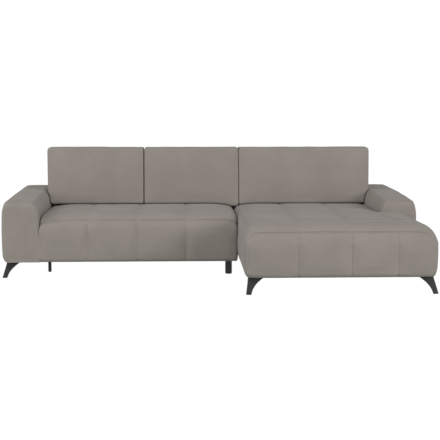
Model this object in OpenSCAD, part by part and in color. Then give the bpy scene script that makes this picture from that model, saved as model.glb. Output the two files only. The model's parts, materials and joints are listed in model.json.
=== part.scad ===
// Corner sofa: a two-seat module with a left arm, joined to a chaise with a right arm.
// Three free-standing back blocks slide front to rear on steel runners behind the seats.
// Millimetres, +Z up, the front faces -Y, +X is to the right of someone looking at the front.
// The origin is on the floor, under the centre of the whole sofa.

/* [Modules] */
// Width of the two-seat module, from the outside of its arm to the joint with the chaise
sofa_w = 1649; // [1450:1:1900]
// Width of the chaise module, from the joint to the outside of its arm
chaise_w = 1263; // [1150:1:1500]
// How far the chaise stands out in front of the two-seat module
chaise_reach = 707; // [550:1:900]
// Gap between the two modules
module_gap = 1; // [0.6:0.1:4]
// Height of the underside of the body above the floor
leg_h = 114; // [90:1:150]

/* [Seats] */
// Height of the crown of the seats above the floor
seat_h = 462; // [440:1:500]
// Height of the sewn line along the front of the seats
seam_h = 409; // [395:1:425]
// Clear seat depth in front of the backs, at seat level
seat_depth = 624; // [560:1:700]
// Height at which the front of the seats starts to round over
front_round_h = 330; // [300:1:350]
// How far back the rounded front edge of the seats runs
front_round_d = 140; // [110:1:170]
// Width of each of the three inner channels of the two-seat module
sofa_channel_w = 350; // [300:1:370]
// Width of each of the two left channels of the chaise
chaise_channel_w = 340; // [300:1:355]
// Distance from the last sewn line of the chaise to the inner side of its arm
edge_seam = 30; // [25:1:40]
// Distance from the front of the chaise to its first cross seam
cross_seam_first = 235; // [210:1:300]
// Distance between the cross seams of the chaise
cross_seam_pitch = 385; // [340:1:420]
// How deep the sewn lines draw the padding in
seam_depth = 9; // [4:0.5:14]
// How far to each side of a sewn line the padding is drawn in
seam_reach = 60; // [40:1:80]

/* [Arms] */
// Width of an arm at its thickest
arm_w = 259; // [220:1:300]
// Height of the arms at the front
arm_front_h = 542; // [520:1:600]
// Height of the arms at the rear
arm_rear_h = 576; // [545:1:640]

/* [Backs] */
// Height of the tops of the backs above the floor
back_top_h = 888; // [800:1:980]
// Thickness of a back at its foot
back_t = 282; // [272:1:310]
// How far the front of a back leans to the rear over its height
back_lean = 60; // [20:1:90]
// Width of the left back at its top
back_left_w = 728; // [600:1:760]
// How far the middle back reaches past the joint between the modules
back_overhang = 36; // [10:1:45]
// Gap between neighbouring backs
back_gap = 7; // [4:0.5:15]
// How far the left back reaches over the left arm
back_over_left = 23; // [10:1:40]
// How far the right back reaches over the right arm
back_over_right = 37; // [10:1:40]
// How much narrower an outer back would get towards its foot without the rounding of the arm
back_side_lean = 7; // [0:1:12]
// How far the middle of a back bulges forward
back_crown = 14; // [5:1:20]
// Travel of a back from the short seat to the deep seat
back_travel = 180; // [140:1:185]

/* [Padding] */
// Padding and cover over the foam core of the seats
seat_pad_top = 45; // [40:1:50]
// Padding over the boards of the arms
pad_top = 32; // [28:1:36]
// Padding on the front of the modules
pad_front = 34; // [32:1:38]
// Padding on the module side that faces the chaise
pad_side = 20; // [14:1:26]
// Padding on the outer side of the arms and on both sides of the chaise
pad_outer = 40; // [36:1:46]
// Padding on the inner side of the arms
pad_inner = 15; // [10:1:20]
// Thickness of the upholstered rear panels
rear_panel_t = 40; // [30:1:50]
// Height of the rear panels above the floor
rear_panel_h = 452; // [420:1:455]
// Padding on each side of a back frame
back_pad_side = 70; // [55:1:85]
// Padding behind a back frame
back_pad_rear = 25; // [15:1:30]
// Padding over a back frame
back_pad_top = 60; // [50:1:80]

/* [Frame] */
// Thickness of the timber rails
rail_t = 25; // [18:1:30]
// Height of the timber seat rails
rail_h = 170; // [150:1:185]
// Thickness of the boards in the arms
arm_board_t = 15; // [12:1:18]
// Thickness of the rear decks
deck_t = 12; // [9:1:18]
// Thickness of the black lining under the seats
lining_t = 2; // [1:0.5:3]
// Thickness of the spring wire
wire_t = 4; // [3:0.5:5]
// Half the width of a zigzag spring
spring_half_w = 25; // [18:1:32]
// Distance between the crossbars of a zigzag spring
spring_bar_pitch = 30; // [24:1:40]
// Distance between neighbouring springs
spring_pitch = 165; // [140:1:200]

/* [Backs inside] */
// Width of the uprights of a back frame
upright_w = 30; // [24:1:36]
// Depth of the uprights of a back frame
upright_d = 50; // [44:1:60]
// Height of the cross rails of a back frame
back_rail_h = 60; // [40:1:80]
// Height of a webbing strap
strap_h = 50; // [40:1:60]
// Thickness of a webbing strap
strap_t = 2.5; // [1.5:0.5:4]
// Number of webbing straps in a back
strap_count = 4; // [3:1:5]

/* [Runners] */
// Width of a steel runner
runner_w = 46; // [40:1:60]
// Height of a steel runner
runner_h = 30; // [26:1:34]
// Sheet thickness of the runners
runner_t = 2.5; // [2:0.5:4]
// Width of the slot along the top of a runner
slot_w = 18; // [14:1:22]
// Length of a sliding carriage
carriage_l = 64; // [50:1:70]
// Thickness of the bracket that ties a back frame to its carriage
bracket_t = 4; // [3:0.5:6]
// Height of the upright plate of a bracket
bracket_h = 126; // [100:1:150]
// Width of the upright plate of a bracket
bracket_w = 26; // [20:1:27]
// Free height between a rear deck and the underside of a back
under_back = 62; // [60:1:75]

/* [Feet] */
// Width of a blade foot at its top
foot_top_w = 96; // [84:1:110]
// Width of a blade foot at the floor
foot_sole_w = 34; // [28:1:40]
// Thickness of the blades of a foot
foot_blade_t = 13; // [9:1:16]
// How far the sole of a blade foot stands out past its top, to the side
foot_splay = 32; // [10:1:38]
// Distance from the front of a module to its blade feet
foot_setback = 60; // [45:1:90]
// Thickness of the mounting plates of the feet
foot_plate_t = 4; // [3:0.5:6]
// Diameter of the cylinder legs
leg_d = 49; // [40:1:60]
// Diameter of the slim support leg
slim_leg_d = 24; // [20:1:30]
// Distance from the front of the two-seat module to its slim support leg
slim_leg_setback = 303; // [280:1:330]
// Thickness of the glides under the feet
glide_t = 3; // [2:0.5:5]

/* [Hardware] */
// Diameter of the arm bolts
bolt_d = 8; // [6:1:10]
// Diameter of the bracket bolts
bracket_bolt_d = 6; // [5:1:8]
// Diameter of the foot screws
screw_d = 5; // [4:0.5:6]
// Length of the foot screws under their heads
screw_l = 28; // [20:1:32]
// Clearance round bolts and screws
hole_gap = 0.2; // [0.15:0.05:0.4]
// Clearance between pieces that seat on each other
seat_gap = 0.3; // [0.2:0.05:0.6]

/* [Hidden] */
$fn = 48;

// Reach of a cut past the face that it opens
cut = 1;

// Lines across the sofa, left to right
x_left = -(sofa_w + chaise_w) / 2;
x_split = x_left + sofa_w;
x_right = -x_left;
seat_x0 = x_left + arm_w;
seat_x1 = x_split - module_gap / 2;
chaise_x0 = x_split + module_gap / 2;
chaise_x1 = x_right - arm_w;
// In front of its arm the chaise is this much narrower than the arm on the outside
chaise_inset = 14.5;
chaise_side = x_right - chaise_inset;

// The runner holds the carriage and its travel between two end stops
stop_gap = 0.5;
runner_l = carriage_l + back_travel + 2 * (runner_t + stop_gap);
// The foot of a back ends this far behind its carriage
back_behind_carriage = 12;
seat_l = seat_depth + back_t - back_behind_carriage - carriage_l - runner_t - stop_gap - 1.5;
deck_l = runner_l + 3;
sofa_d = seat_l + deck_l + rear_panel_t;

// Lines from front to rear
y_chaise = -(chaise_reach + sofa_d) / 2;
y_rear = -y_chaise;
y_sofa = y_chaise + chaise_reach;
y_seat_end = y_sofa + seat_l;
y_panel = y_rear - rear_panel_t;
y_back = y_sofa + seat_depth;
y_back_end = y_back + back_t;
y_runner = y_seat_end + 1.5;
y_carriage = y_runner + runner_t + stop_gap;

// Levels
z_rail = leg_h + lining_t;
z_spring = z_rail + rail_h;
clip_t = 1.5;
clip_w = 16;
z_foam = z_spring + wire_t + seat_gap + clip_t;
z_foam_top = seat_h - seat_pad_top;
back_clear = 1;
z_back = seat_h + back_clear;
z_deck = z_back - under_back;
z_deck_under = z_deck - deck_t;
z_neck = z_deck + runner_h + 3;
window_h = z_deck_under + seat_gap;

// Roundings of an arm: along its inner and outer top edges, and over its front and rear ends
arm_in_w = 55;
arm_in_h = 105;
arm_out_w = 32;
arm_out_h = 118;
arm_front_l = 45;
arm_front_drop = 41;
arm_rear_l = 50;
arm_rear_drop = 24;
// The middle of its top stands this much above the start of the roundings
arm_crown = 3;
// The top of an arm rises from front to rear, less and less
arm_rise_power = 1.6;
// The inner top edge of an arm frame is bevelled, for the large rounding of its cover
arm_bevel_w = 20;
arm_bevel_h = 40;
// The front end of an arm clears the seat between these heights
tuck_z0 = 300;
tuck_z1 = 345;

// Rounded edges of the upholstery
edge_front_r = 30;
chaise_side_w = 132;
chaise_side_h = 86;
side_low_w = 35;
side_low_h = 67;
// A seat falls away softly over soft_w next to the other module or an arm, and rounds over at the very end
soft_w = 200;
soft_drop = 36;
joint_r = 45;
joint_drop = 28;
arm_soft_w = 260;
arm_soft_drop = 34;
tuck_w = 14;
tuck_drop = 12;
// Next to its arm the crown of the chaise sinks by this much
beside_w = 130;
beside_drop = 16;
// The crown of the chaise falls this much towards its right edge
crown_w = 294;
crown_drop = 33;
// Rounded upright front corners and lower edges of the seats
corner_w = 18;
corner_draw = 20;
low_edge_r = 12;
left_corner_r = 36;
right_corner_r = 40;
// The foam ends this far inside the rounded front edge and the rounded right edge
foam_front = 95;
foam_side = 85;

// Sewn lines
sofa_seams = [for (i = [1:3]) seat_x1 - i * sofa_channel_w];
chaise_seams = [chaise_x0 + chaise_channel_w, chaise_x0 + 2 * chaise_channel_w, chaise_x1 - edge_seam];
cross_seams = [for (i = [0:2]) y_chaise + cross_seam_first + i * cross_seam_pitch];
seam_half = 16;
seam_wide = 45;

// Backs: left and right edges at the top, and how far each side reaches over an arm
back_x = [
    [seat_x0 - back_over_left, seat_x0 - back_over_left + back_left_w],
    [seat_x0 - back_over_left + back_left_w + back_gap, x_split + back_overhang],
    [x_split + back_overhang + back_gap, chaise_x1 + back_over_right]
];
back_overs = [[back_over_left, 0], [0, 0], [0, back_over_right]];
// Clearance between the side of a back and the arm beside it
back_arm_gap = 3.5;
top_bow = 2;
// Rounding of the upright corners of a back
back_corner_w = 15;
back_corner_h = 14;
back_low_r = 20;
back_top_r = 26;
frame_y1 = y_back_end - back_pad_rear;
frame_y0 = frame_y1 - upright_d;
cover_t = 3;
z_frame = z_back + cover_t;
z_frame_top = back_top_h - back_pad_top;

// Feet
block_h = 40;
block_w = 60;
corner_block_w = 105;
foot_x = x_left + 24;
right_foot_x = chaise_side - 20;
chaise_foot_x = chaise_x0 + 34;
cylinder_inset = 57.5;
cylinder_front = 184;
cylinder_rear = 120;
arm_leg_x = x_left + arm_w / 2;
slim_leg_x = seat_x0 - pad_inner + rail_t + 22;
slim_leg_y = y_sofa + slim_leg_setback;

fabric = [0.55, 0.53, 0.50];
black = [0.16, 0.16, 0.16];
timber = [0.80, 0.66, 0.46];
steel = [0.62, 0.63, 0.65];
foam_colour = [0.93, 0.90, 0.78];

// Smooth step from 0 at a to 1 at b
function ease(a, b, v) = let (t = min(1, max(0, (v - a) / (b - a)))) t * t * (3 - 2 * t);

// How far a quarter ellipse of half-axes a and b has dropped, at distance t in from its end
function fall(t, a, b) = t >= a ? 0 : b * (1 - sqrt(1 - pow(1 - max(0, t) / a, 2)));

// How deep the nearest sewn line draws the padding in
function drawn(v, seams) =
    max(concat([0], [for (s = seams) seam_depth * pow(max(0, 1 - abs(v - s) / seam_reach), 2.5)]));

// The values of a list in rising order, each of them once
function rising(v) = len(v) < 2 ? v :
    let (p = v[floor(len(v) / 2)])
        concat(rising([for (x = v) if (x < p) x]), [p], rising([for (x = v) if (x > p) x]));

// Places along a soft block, closer together at its seams
function spread(places, seams) = rising(concat(places,
    [for (s = seams) each [s - seam_wide, s - seam_half, s, s + seam_half, s + seam_wide]]));

// How far a seat has fallen at distance t from the joint between the modules
function joint_fall(t) = fall(t, soft_w, soft_drop) + fall(t, joint_r, joint_drop);

function middle(points) = [for (k = [0:2]) (min([for (p = points) p[k]]) + max([for (p = points) p[k]])) / 2];

// Faces of the skin through m rings of n points, without its ends
function skin(m, n) = [
    for (i = [0:m - 2], j = [0:n - 1])
        let (a = i * n + j, b = i * n + (j + 1) % n)
            each [[a, b, b + n], [a, b + n, a + n]]];

// A closed skin through rings of the same number of points, with a fan at each end
module loft(rings, hubs = []) {
    n = len(rings[0]);
    m = len(rings);
    points = concat([for (r = rings) each r],
        len(hubs) == 2 ? hubs : [middle(rings[0]), middle(rings[m - 1])]);
    caps = [
        for (j = [0:n - 1])
            let (k = (j + 1) % n)
                each [[m * n, k, j], [m * n + 1, (m - 1) * n + j, (m - 1) * n + k]]
    ];
    polyhedron(points, concat(skin(m, n), caps));
}

// A closed skin through rings whose front and rear halves have their points at the same heights.
// Each end is closed by rungs from the front half to the rear half.
module ladder_loft(rings) {
    n = len(rings[0]);
    m = len(rings);
    top = (n - 1) / 2;
    cap = concat(
        [for (j = [0:top - 1]) [n - 1 - j, j + 1, j]],
        [for (j = [0:top - 2]) [j + 1, n - 1 - j, n - 2 - j]]);
    far = (m - 1) * n;
    polyhedron([for (r = rings) each r],
        concat(skin(m, n), cap, [for (f = cap) [f[2] + far, f[1] + far, f[0] + far]]));
}

// Seats
// One ring of a seat, in the plane x. top, low and front are how far the end rounding has
// drawn in the top, the bottom and the front there. beside is how far the crown sinks beside the arm.
function seat_ring(x, y0, y1, seams, tops, cross, top, low, front, beside = 0) =
    let (g = drawn(x, seams),
         yf = y0 + front,
         zt = seat_h - top,
         zb = leg_h + low,
         rise = zt - front_round_h,
         seam_a = asin((seam_h - front_round_h) / (seat_h - front_round_h)))
    concat(
        [for (a = [0, 45, 90]) [x, yf + edge_front_r * (1 - sin(a)), zb + edge_front_r * (1 - cos(a))]],
        [for (z = [leg_h + 100, front_round_h - 50]) [x, yf + g, z]],
        [for (a = [0, 14, 27, seam_a - 3, seam_a, seam_a + 3, 48, 60, 74])
            let (d = g + (a == seam_a ? 3.5 : 0))
                [x, yf + front_round_d * (1 - cos(a)) + d * cos(a),
                    front_round_h + (rise - d) * sin(a)]],
        [for (i = [0:len(tops) - 1])
            let (y = min(tops[i], y1 - 14 - 3 * (len(tops) - i)))
                [x, y, zt - max(g, drawn(y, cross)) - beside * ease(y_sofa, y_sofa + beside_w, y)]],
        [[x, y1 - 6, zt - beside - 2], [x, y1, zt - beside - 9], [x, y1, zb]]);

// Padded cover of the two-seat module, cut out below for the frame, the springs and the foam
module sofa_seat_form() {
    stations = spread(
        [for (t = [0, 3, 8, 14, 30, 60, 110, 180]) each [seat_x0 + t, seat_x1 - t], seat_x1 - joint_r],
        sofa_seams);
    tops = [for (i = [1:6]) y_sofa + front_round_d + (seat_l - front_round_d - 30) * (i - 1) / 5];
    loft([for (x = stations)
        let (l = x - seat_x0, r = seat_x1 - x)
            seat_ring(x, y_sofa, y_seat_end, sofa_seams, tops, [],
                fall(l, arm_soft_w, arm_soft_drop) + fall(l, tuck_w, tuck_drop) + joint_fall(r),
                fall(r, low_edge_r, low_edge_r), fall(r, corner_w, corner_draw))]);
}

module sofa_seat_cover() {
    color(fabric) difference() {
        sofa_seat_form();
        // Frame and springs
        translate([seat_x0 + pad_side, y_sofa + pad_front, leg_h - cut])
            cube([seat_x1 - seat_x0 - 2 * pad_side, seat_l, z_foam + 10 - leg_h + cut]);
        // Foam
        translate([seat_x0 + pad_side, y_sofa + foam_front, z_foam])
            cube([seat_x1 - seat_x0 - 2 * pad_side, seat_l - foam_front - rail_t, z_foam_top - z_foam]);
        // The side rail meets the arm frame here
        translate([seat_x0 - cut, y_sofa + pad_front, leg_h - cut])
            cube([pad_side + 2 * cut, seat_l, window_h - leg_h + cut]);
        // The rear edge sits on the deck
        translate([seat_x0 - cut, y_seat_end - rail_t - seat_gap, leg_h - cut])
            cube([seat_x1 - seat_x0 + 2 * cut, rail_t + 2 * cut, z_deck + seat_gap - leg_h + cut]);
        connector_window(seat_x1 - pad_side - cut, pad_side + 2 * cut);
    }
}

module sofa_seat_foam() {
    color(foam_colour)
        translate([seat_x0 + pad_side + seat_gap, y_sofa + foam_front + seat_gap, z_foam + seat_gap])
            cube([seat_x1 - seat_x0 - 2 * (pad_side + seat_gap),
                seat_l - foam_front - rail_t - 3 * seat_gap, z_foam_top - z_foam - 2 * seat_gap]);
}

// The chaise seat is one block: full width in front of the arm, then as wide as the seat
module chaise_seat_form() {
    stations = spread(concat(
        [for (t = [0, 3, 9, 18, 36, 70, 120, 190]) chaise_x0 + t],
        [for (t = [0, 5, 14, 28, 46, 70, 100, 140, 190]) chaise_side - t],
        [chaise_x1, chaise_x1 + seat_gap / 2]), chaise_seams);
    tops = spread([y_chaise + front_round_d, y_seat_end - 60, y_seat_end - 20], cross_seams);
    loft([for (x = stations)
        let (l = x - chaise_x0, r = chaise_side - x, past_arm = x > chaise_x1)
            seat_ring(x, y_chaise, past_arm ? y_sofa - seat_gap : y_seat_end,
                chaise_seams, tops, cross_seams,
                joint_fall(l) + fall(r, crown_w, crown_drop) + fall(r, chaise_side_w, chaise_side_h),
                fall(l, side_low_w, side_low_h) + fall(r, side_low_w, side_low_h),
                fall(l, left_corner_r, left_corner_r) + fall(r, right_corner_r, right_corner_r),
                past_arm ? 0 : fall(chaise_x1 - x, beside_w, beside_drop))]);
}

module chaise_seat_cover() {
    wide = chaise_side - chaise_x0 - 2 * pad_outer;
    color(fabric) difference() {
        chaise_seat_form();
        // Frame and springs, in front of the arm and beside it
        translate([chaise_x0 + pad_outer, y_chaise + pad_front, leg_h - cut])
            cube([wide, chaise_reach - pad_front - pad_side, z_foam + 10 - leg_h + cut]);
        translate([chaise_x0 + pad_outer, y_sofa - pad_side - cut, leg_h - cut])
            cube([chaise_x1 - chaise_x0 - pad_outer - pad_side, seat_l + pad_side + cut,
                z_foam + 10 - leg_h + cut]);
        translate([0, 0, z_foam]) linear_extrude(z_foam_top - z_foam) chaise_foam_plan(0);
        // The side rail meets the arm frame here
        translate([chaise_x1 - pad_side - cut, y_sofa - pad_side, leg_h - cut])
            cube([pad_side + 2 * cut, seat_l + pad_side + cut, window_h - leg_h + cut]);
        side_rail_window(y_sofa - pad_side, pad_side);
        // The rear edge sits on the deck
        translate([chaise_x0 - cut, y_seat_end - rail_t - seat_gap, leg_h - cut])
            cube([chaise_x1 - chaise_x0 + 2 * cut, rail_t + 2 * cut, z_deck + seat_gap - leg_h + cut]);
        connector_window(chaise_x0 - cut, pad_outer + 2 * cut);
    }
}

// Plan of the L-shaped foam of the chaise, drawn in by a gap
module chaise_foam_plan(gap) {
    wide = chaise_side - foam_side;
    polygon([
        [chaise_x0 + pad_outer + gap, y_chaise + foam_front + gap], [wide - gap, y_chaise + foam_front + gap],
        [wide - gap, y_sofa - pad_side - gap], [chaise_x1 - pad_side - gap, y_sofa - pad_side - gap],
        [chaise_x1 - pad_side - gap, y_seat_end - rail_t - gap],
        [chaise_x0 + pad_outer + gap, y_seat_end - rail_t - gap]]);
}
module chaise_seat_foam() {
    color(foam_colour) translate([0, 0, z_foam + seat_gap])
        linear_extrude(z_foam_top - z_foam - 2 * seat_gap) chaise_foam_plan(seat_gap);
}

// Room for the right side rail where it runs from the cross rail to the arm
module side_rail_window(y, length) {
    translate([chaise_x1 - cut, y - cut, leg_h - cut])
        cube([pad_inner + seat_gap + cut, length + 2 * cut, z_spring + seat_gap - leg_h + cut]);
}

// Springs
// Outline of a zigzag wire that starts at the origin and runs along +Y
function zigzag(bars, pitch) =
    let (a = spring_half_w,
         p = [for (i = [0:bars - 1]) each
             (i % 2 == 0 ? [[-a, i * pitch], [a, i * pitch]] : [[a, i * pitch], [-a, i * pitch]])],
         side = [[0, 1], [-1, 0], [0, -1], [-1, 0]],
         last = len(p) - 1,
         shift = [for (i = [0:last]) (wire_t / 2) *
             ((i > 0 ? side[(i - 1) % 4] : [0, 0]) + (i < last ? side[i % 4] : [0, 0]))])
    concat([for (i = [0:last]) p[i] + shift[i]], [for (i = [last:-1:0]) p[i] - shift[i]]);

// Places of the springs across a bay
function spring_xs(bay) =
    let (count = max(1, floor((bay[1] - bay[0]) / spring_pitch)))
    [for (i = [0:count - 1]) bay[0] + (bay[1] - bay[0]) * (i + 0.5) / count];

// Springs between two rails. The end bars lie on the rails, in the clips.
module spring_row(bay) {
    steps = round((bay[3] - bay[2]) / spring_bar_pitch);
    for (x = spring_xs(bay)) translate([x, bay[2], z_spring])
        linear_extrude(wire_t) polygon(zigzag(steps + 1, (bay[3] - bay[2]) / steps));
}

// A folded steel clip round the end bar of a spring
module clip() {
    inner = wire_t + 2 * seat_gap;
    translate([-clip_w / 2, 0, 0]) rotate([90, 0, 90]) linear_extrude(clip_w) polygon([
        [-inner / 2 - clip_t, 0], [-inner / 2, 0], [-inner / 2, wire_t + seat_gap],
        [inner / 2, wire_t + seat_gap], [inner / 2, 0], [inner / 2 + clip_t, 0],
        [inner / 2 + clip_t, wire_t + seat_gap + clip_t], [-inner / 2 - clip_t, wire_t + seat_gap + clip_t]]);
}

module clip_row(bay) {
    for (x = spring_xs(bay), y = [bay[2], bay[3]]) translate([x, y, z_spring]) clip();
}

// Spring bays: left, right, and the places of the first and last bars
ledge_w = 20;
sofa_bay = [seat_x0 + pad_side, seat_x1 - pad_side,
    y_sofa + pad_front + 8, y_seat_end - rail_t - 8];
front_bay = [chaise_x0 + pad_outer + rail_t, chaise_side - pad_outer - rail_t,
    y_chaise + pad_front + 8, y_sofa - pad_side - rail_t / 2 - 6];
rear_bay = [chaise_x0 + pad_outer + rail_t, chaise_x1 - pad_side,
    y_sofa - pad_side - rail_t / 2 + 6, y_seat_end - rail_t - 8];

module sofa_springs() { color(steel) spring_row(sofa_bay); }
module sofa_spring_clips() { color(steel) clip_row(sofa_bay); }
module chaise_springs() { color(steel) for (bay = [front_bay, rear_bay]) spring_row(bay); }
module chaise_spring_clips() { color(steel) for (bay = [front_bay, rear_bay]) clip_row(bay); }

// Timber frame
rail_x0 = seat_x0 - pad_inner;
rail_x1 = seat_x1 - pad_side - seat_gap;
crail_x0 = chaise_x0 + pad_outer + seat_gap;
crail_x1 = chaise_x1 + pad_inner;
short_x1 = chaise_side - pad_outer - seat_gap;
y_front_rail = y_sofa + pad_front + seat_gap;
y_chaise_rail = y_chaise + pad_front + seat_gap;
y_cross_rail = y_sofa - pad_side - rail_t - seat_gap;

module rail(x0, x1, y, height) {
    translate([x0, y, z_rail]) cube([x1 - x0, rail_t, height]);
}

// Rear support of the springs, with a ledge for them
module ledge_rail(x0, x1) {
    translate([x0, y_seat_end, z_rail]) rotate([90, 0, 90]) linear_extrude(x1 - x0) polygon([
        [-rail_t - ledge_w, 0], [0, 0], [0, z_deck_under - z_rail],
        [-rail_t, z_deck_under - z_rail], [-rail_t, rail_h], [-rail_t - ledge_w, rail_h]]);
}

// Side rail from y0 to the rear rail, higher where it carries the deck
module side_rail(x, y0) {
    difference() {
        translate([x, 0, z_rail]) rotate([90, 0, 90]) linear_extrude(rail_t) polygon([
            [y0, 0], [y_panel - rail_t, 0], [y_panel - rail_t, z_deck_under - z_rail],
            [y_seat_end - rail_t, z_deck_under - z_rail], [y_seat_end - rail_t, rail_h], [y0, rail_h]]);
        arm_bolt_holes();
        mirror([1, 0, 0]) arm_bolt_holes();
        leg_screws();
    }
}

module sofa_front_rail() { color(timber) rail(rail_x0, rail_x1, y_front_rail, rail_h); }
module sofa_spring_rail() { color(timber) ledge_rail(rail_x0 + rail_t, rail_x1 - rail_t); }
module sofa_rear_rail() { color(timber) rail(rail_x0, rail_x1, y_panel - rail_t, z_deck_under - z_rail); }
module sofa_side_rails() {
    color(timber) for (x = [rail_x0, rail_x1 - rail_t]) side_rail(x, y_front_rail + rail_t);
}
module chaise_front_rail() { color(timber) rail(crail_x0, short_x1, y_chaise_rail, rail_h); }
module chaise_cross_rail() { color(timber) rail(crail_x0 + rail_t, short_x1 - rail_t, y_cross_rail, rail_h); }
module chaise_spring_rail() { color(timber) ledge_rail(crail_x0 + rail_t, crail_x1 - rail_t); }
module chaise_rear_rail() { color(timber) rail(crail_x0, crail_x1, y_panel - rail_t, z_deck_under - z_rail); }
module chaise_side_rails() {
    color(timber) {
        side_rail(crail_x0, y_chaise_rail + rail_t);
        side_rail(crail_x1 - rail_t, y_cross_rail + rail_t);
        difference() {
            translate([short_x1 - rail_t, y_chaise_rail + rail_t, z_rail])
                cube([rail_t, y_cross_rail - y_chaise_rail, rail_h]);
            leg_screws();
        }
    }
}

// Plywood deck behind the seat, which carries the runners
module deck(x0, x1) {
    translate([x0, y_seat_end - rail_t, z_deck_under])
        cube([x1 - x0, y_panel - y_seat_end + rail_t, deck_t]);
}
module sofa_rear_deck() { color(black) deck(seat_x0 + seat_gap, seat_x1); }
module chaise_rear_deck() { color(black) deck(chaise_x0, chaise_x1 - seat_gap); }

// Upholstered rear panel, rounded along its top and bottom
module rear_panel(x0, x1) {
    r = rear_panel_t / 2 - 2;
    low = leg_h + 8;
    t = rear_panel_t - seat_gap;
    translate([x0, y_panel + seat_gap, 0]) rotate([90, 0, 90]) linear_extrude(x1 - x0) polygon(concat(
        [[0, leg_h], [t - 8, leg_h]],
        [for (a = [-60, -30, 0]) [t - 8 + 8 * cos(a), low + 8 * sin(a)]],
        [for (a = [0:18:90]) [t - r + r * cos(a), rear_panel_h - r + r * sin(a)]],
        [for (a = [90:18:180]) [r + r * cos(a), rear_panel_h - r + r * sin(a)]]));
}
module sofa_rear_panel() { color(fabric) rear_panel(seat_x0 + seat_gap, seat_x1); }
module chaise_rear_panel() { color(fabric) rear_panel(chaise_x0, chaise_x1 - seat_gap); }

// Black lining stapled under the frame and the arms
arm_lap = 5;
module arm_lining_plan(x) {
    translate([x, y_sofa + pad_front])
        square([arm_w - pad_outer - pad_inner + arm_lap, arm_len - 2 * pad_front]);
}
module lining() {
    color(black) difference() {
        translate([0, 0, leg_h]) linear_extrude(lining_t) children();
        leg_screws();
        leg_studs();
    }
}
module sofa_lining() {
    lining() {
        arm_lining_plan(x_left + pad_outer);
        translate([rail_x0, y_front_rail]) square([rail_x1 - rail_x0, y_panel - y_front_rail]);
    }
}
module chaise_lining() {
    lining() {
        arm_lining_plan(crail_x1 - arm_lap);
        translate([crail_x0, y_chaise_rail])
            square([short_x1 - crail_x0, y_cross_rail + rail_t - y_chaise_rail]);
        translate([crail_x0, y_cross_rail]) square([crail_x1 - crail_x0, y_panel - y_cross_rail]);
    }
}

// Blocks glued into the frame, where the feet are screwed on
module block(x, y, w = block_w) {
    difference() {
        translate([x, y, z_rail]) cube([w, w, block_h]);
        leg_screws();
        leg_studs();
    }
}
module sofa_leg_blocks() {
    color(timber) {
        block(rail_x1 - rail_t - block_w, y_sofa + cylinder_front - block_w / 2);
        block(rail_x1 - rail_t - block_w, y_panel - rail_t - block_w);
        block(rail_x0 + rail_t, slim_leg_y - block_w / 2);
    }
}
module chaise_leg_blocks() {
    color(timber) {
        block(crail_x0 + rail_t, y_chaise_rail + rail_t, corner_block_w);
        block(short_x1 - rail_t - corner_block_w, y_chaise_rail + rail_t, corner_block_w);
        block(crail_x0 + rail_t, y_panel - rail_t - block_w);
    }
}

// Arms
arm_len = y_rear - y_sofa;
// Top of an arm at y, before its ends round down
function arm_top(y) = arm_rear_h - (arm_rear_h - arm_front_h) * pow((y_rear - y) / arm_len, arm_rise_power);

// The straight top of the arm frame
frame_z0 = arm_top(y_sofa + pad_front) - pad_top;
frame_z1 = arm_top(y_rear - pad_front) - pad_top;
frame_slope = atan2(frame_z1 - frame_z0, arm_len - 2 * pad_front);

function arm_ring(y, top, outer, inner) =
    let (zt = arm_top(y) - top,
         xi = seat_x0 - seat_gap,
         xo = x_left + outer)
    concat(
        [[xi, y, leg_h]],
        [for (z = [tuck_z0, tuck_z1, (tuck_z1 + arm_front_h - arm_in_h) / 2])
            [xi - inner * ease(tuck_z0, tuck_z1, z), y, z]],
        [for (a = [0, 22, 44, 66, 90])
            [xi - inner - arm_in_w * (1 - cos(a)), y, zt - arm_crown - arm_in_h * (1 - sin(a))]],
        [[(xo + arm_out_w + seat_x0 - arm_in_w) / 2, y, zt]],
        [for (a = [90, 66, 44, 22, 0])
            [xo + arm_out_w * (1 - cos(a)), y, zt - arm_crown - arm_out_h * (1 - sin(a))]],
        [[xo - 2, y, 330]],
        [for (a = [0, 25, 50, 75, 90])
            [xo + side_low_w * (1 - cos(a)), y, leg_h + side_low_h * (1 - sin(a))]]);

// Padded cover of the left arm
module arm_form() {
    stations = rising(concat(
        [for (t = [0, 0.04, 0.15, 0.33, 0.6, 1]) each [y_sofa + t * arm_front_l, y_rear - t * arm_rear_l]],
        [for (i = [1:5]) y_sofa + arm_len * i / 6]));
    loft([for (y = stations)
        let (f = y - y_sofa, r = y_rear - y)
            arm_ring(y, fall(f, arm_front_l, arm_front_drop) + fall(r, arm_rear_l, arm_rear_drop),
                fall(f, 18, 18) + fall(r, 24, 24), fall(f, 22, 24) + fall(r, 22, 20))]);
}

// Side view of the arm frame from the level low, drawn in from the cover by the padding
function arm_side(gap, low) = [
    [y_sofa + pad_front - gap, low], [y_rear - pad_front + gap, low],
    [y_rear - pad_front + gap, frame_z1 + gap], [y_sofa + pad_front - gap, frame_z0 + gap]];

// Outside of the arm frame from the level low, grown by a gap
module arm_core(gap, low) {
    x1 = seat_x0 - pad_inner + gap;
    difference() {
        translate([x_left + pad_outer - gap, 0, 0]) rotate([90, 0, 90])
            linear_extrude(x1 - x_left - pad_outer + gap) polygon(arm_side(gap, low));
        translate([x1, y_sofa + pad_front, frame_z0 + gap]) rotate([90 + frame_slope, 0, 0])
            translate([0, 0, -arm_len - cut]) linear_extrude(arm_len + 2 * cut) polygon([
                [cut, cut], [-arm_bevel_w, cut], [-arm_bevel_w, 0], [0, -arm_bevel_h], [cut, -arm_bevel_h]]);
    }
}

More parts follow.
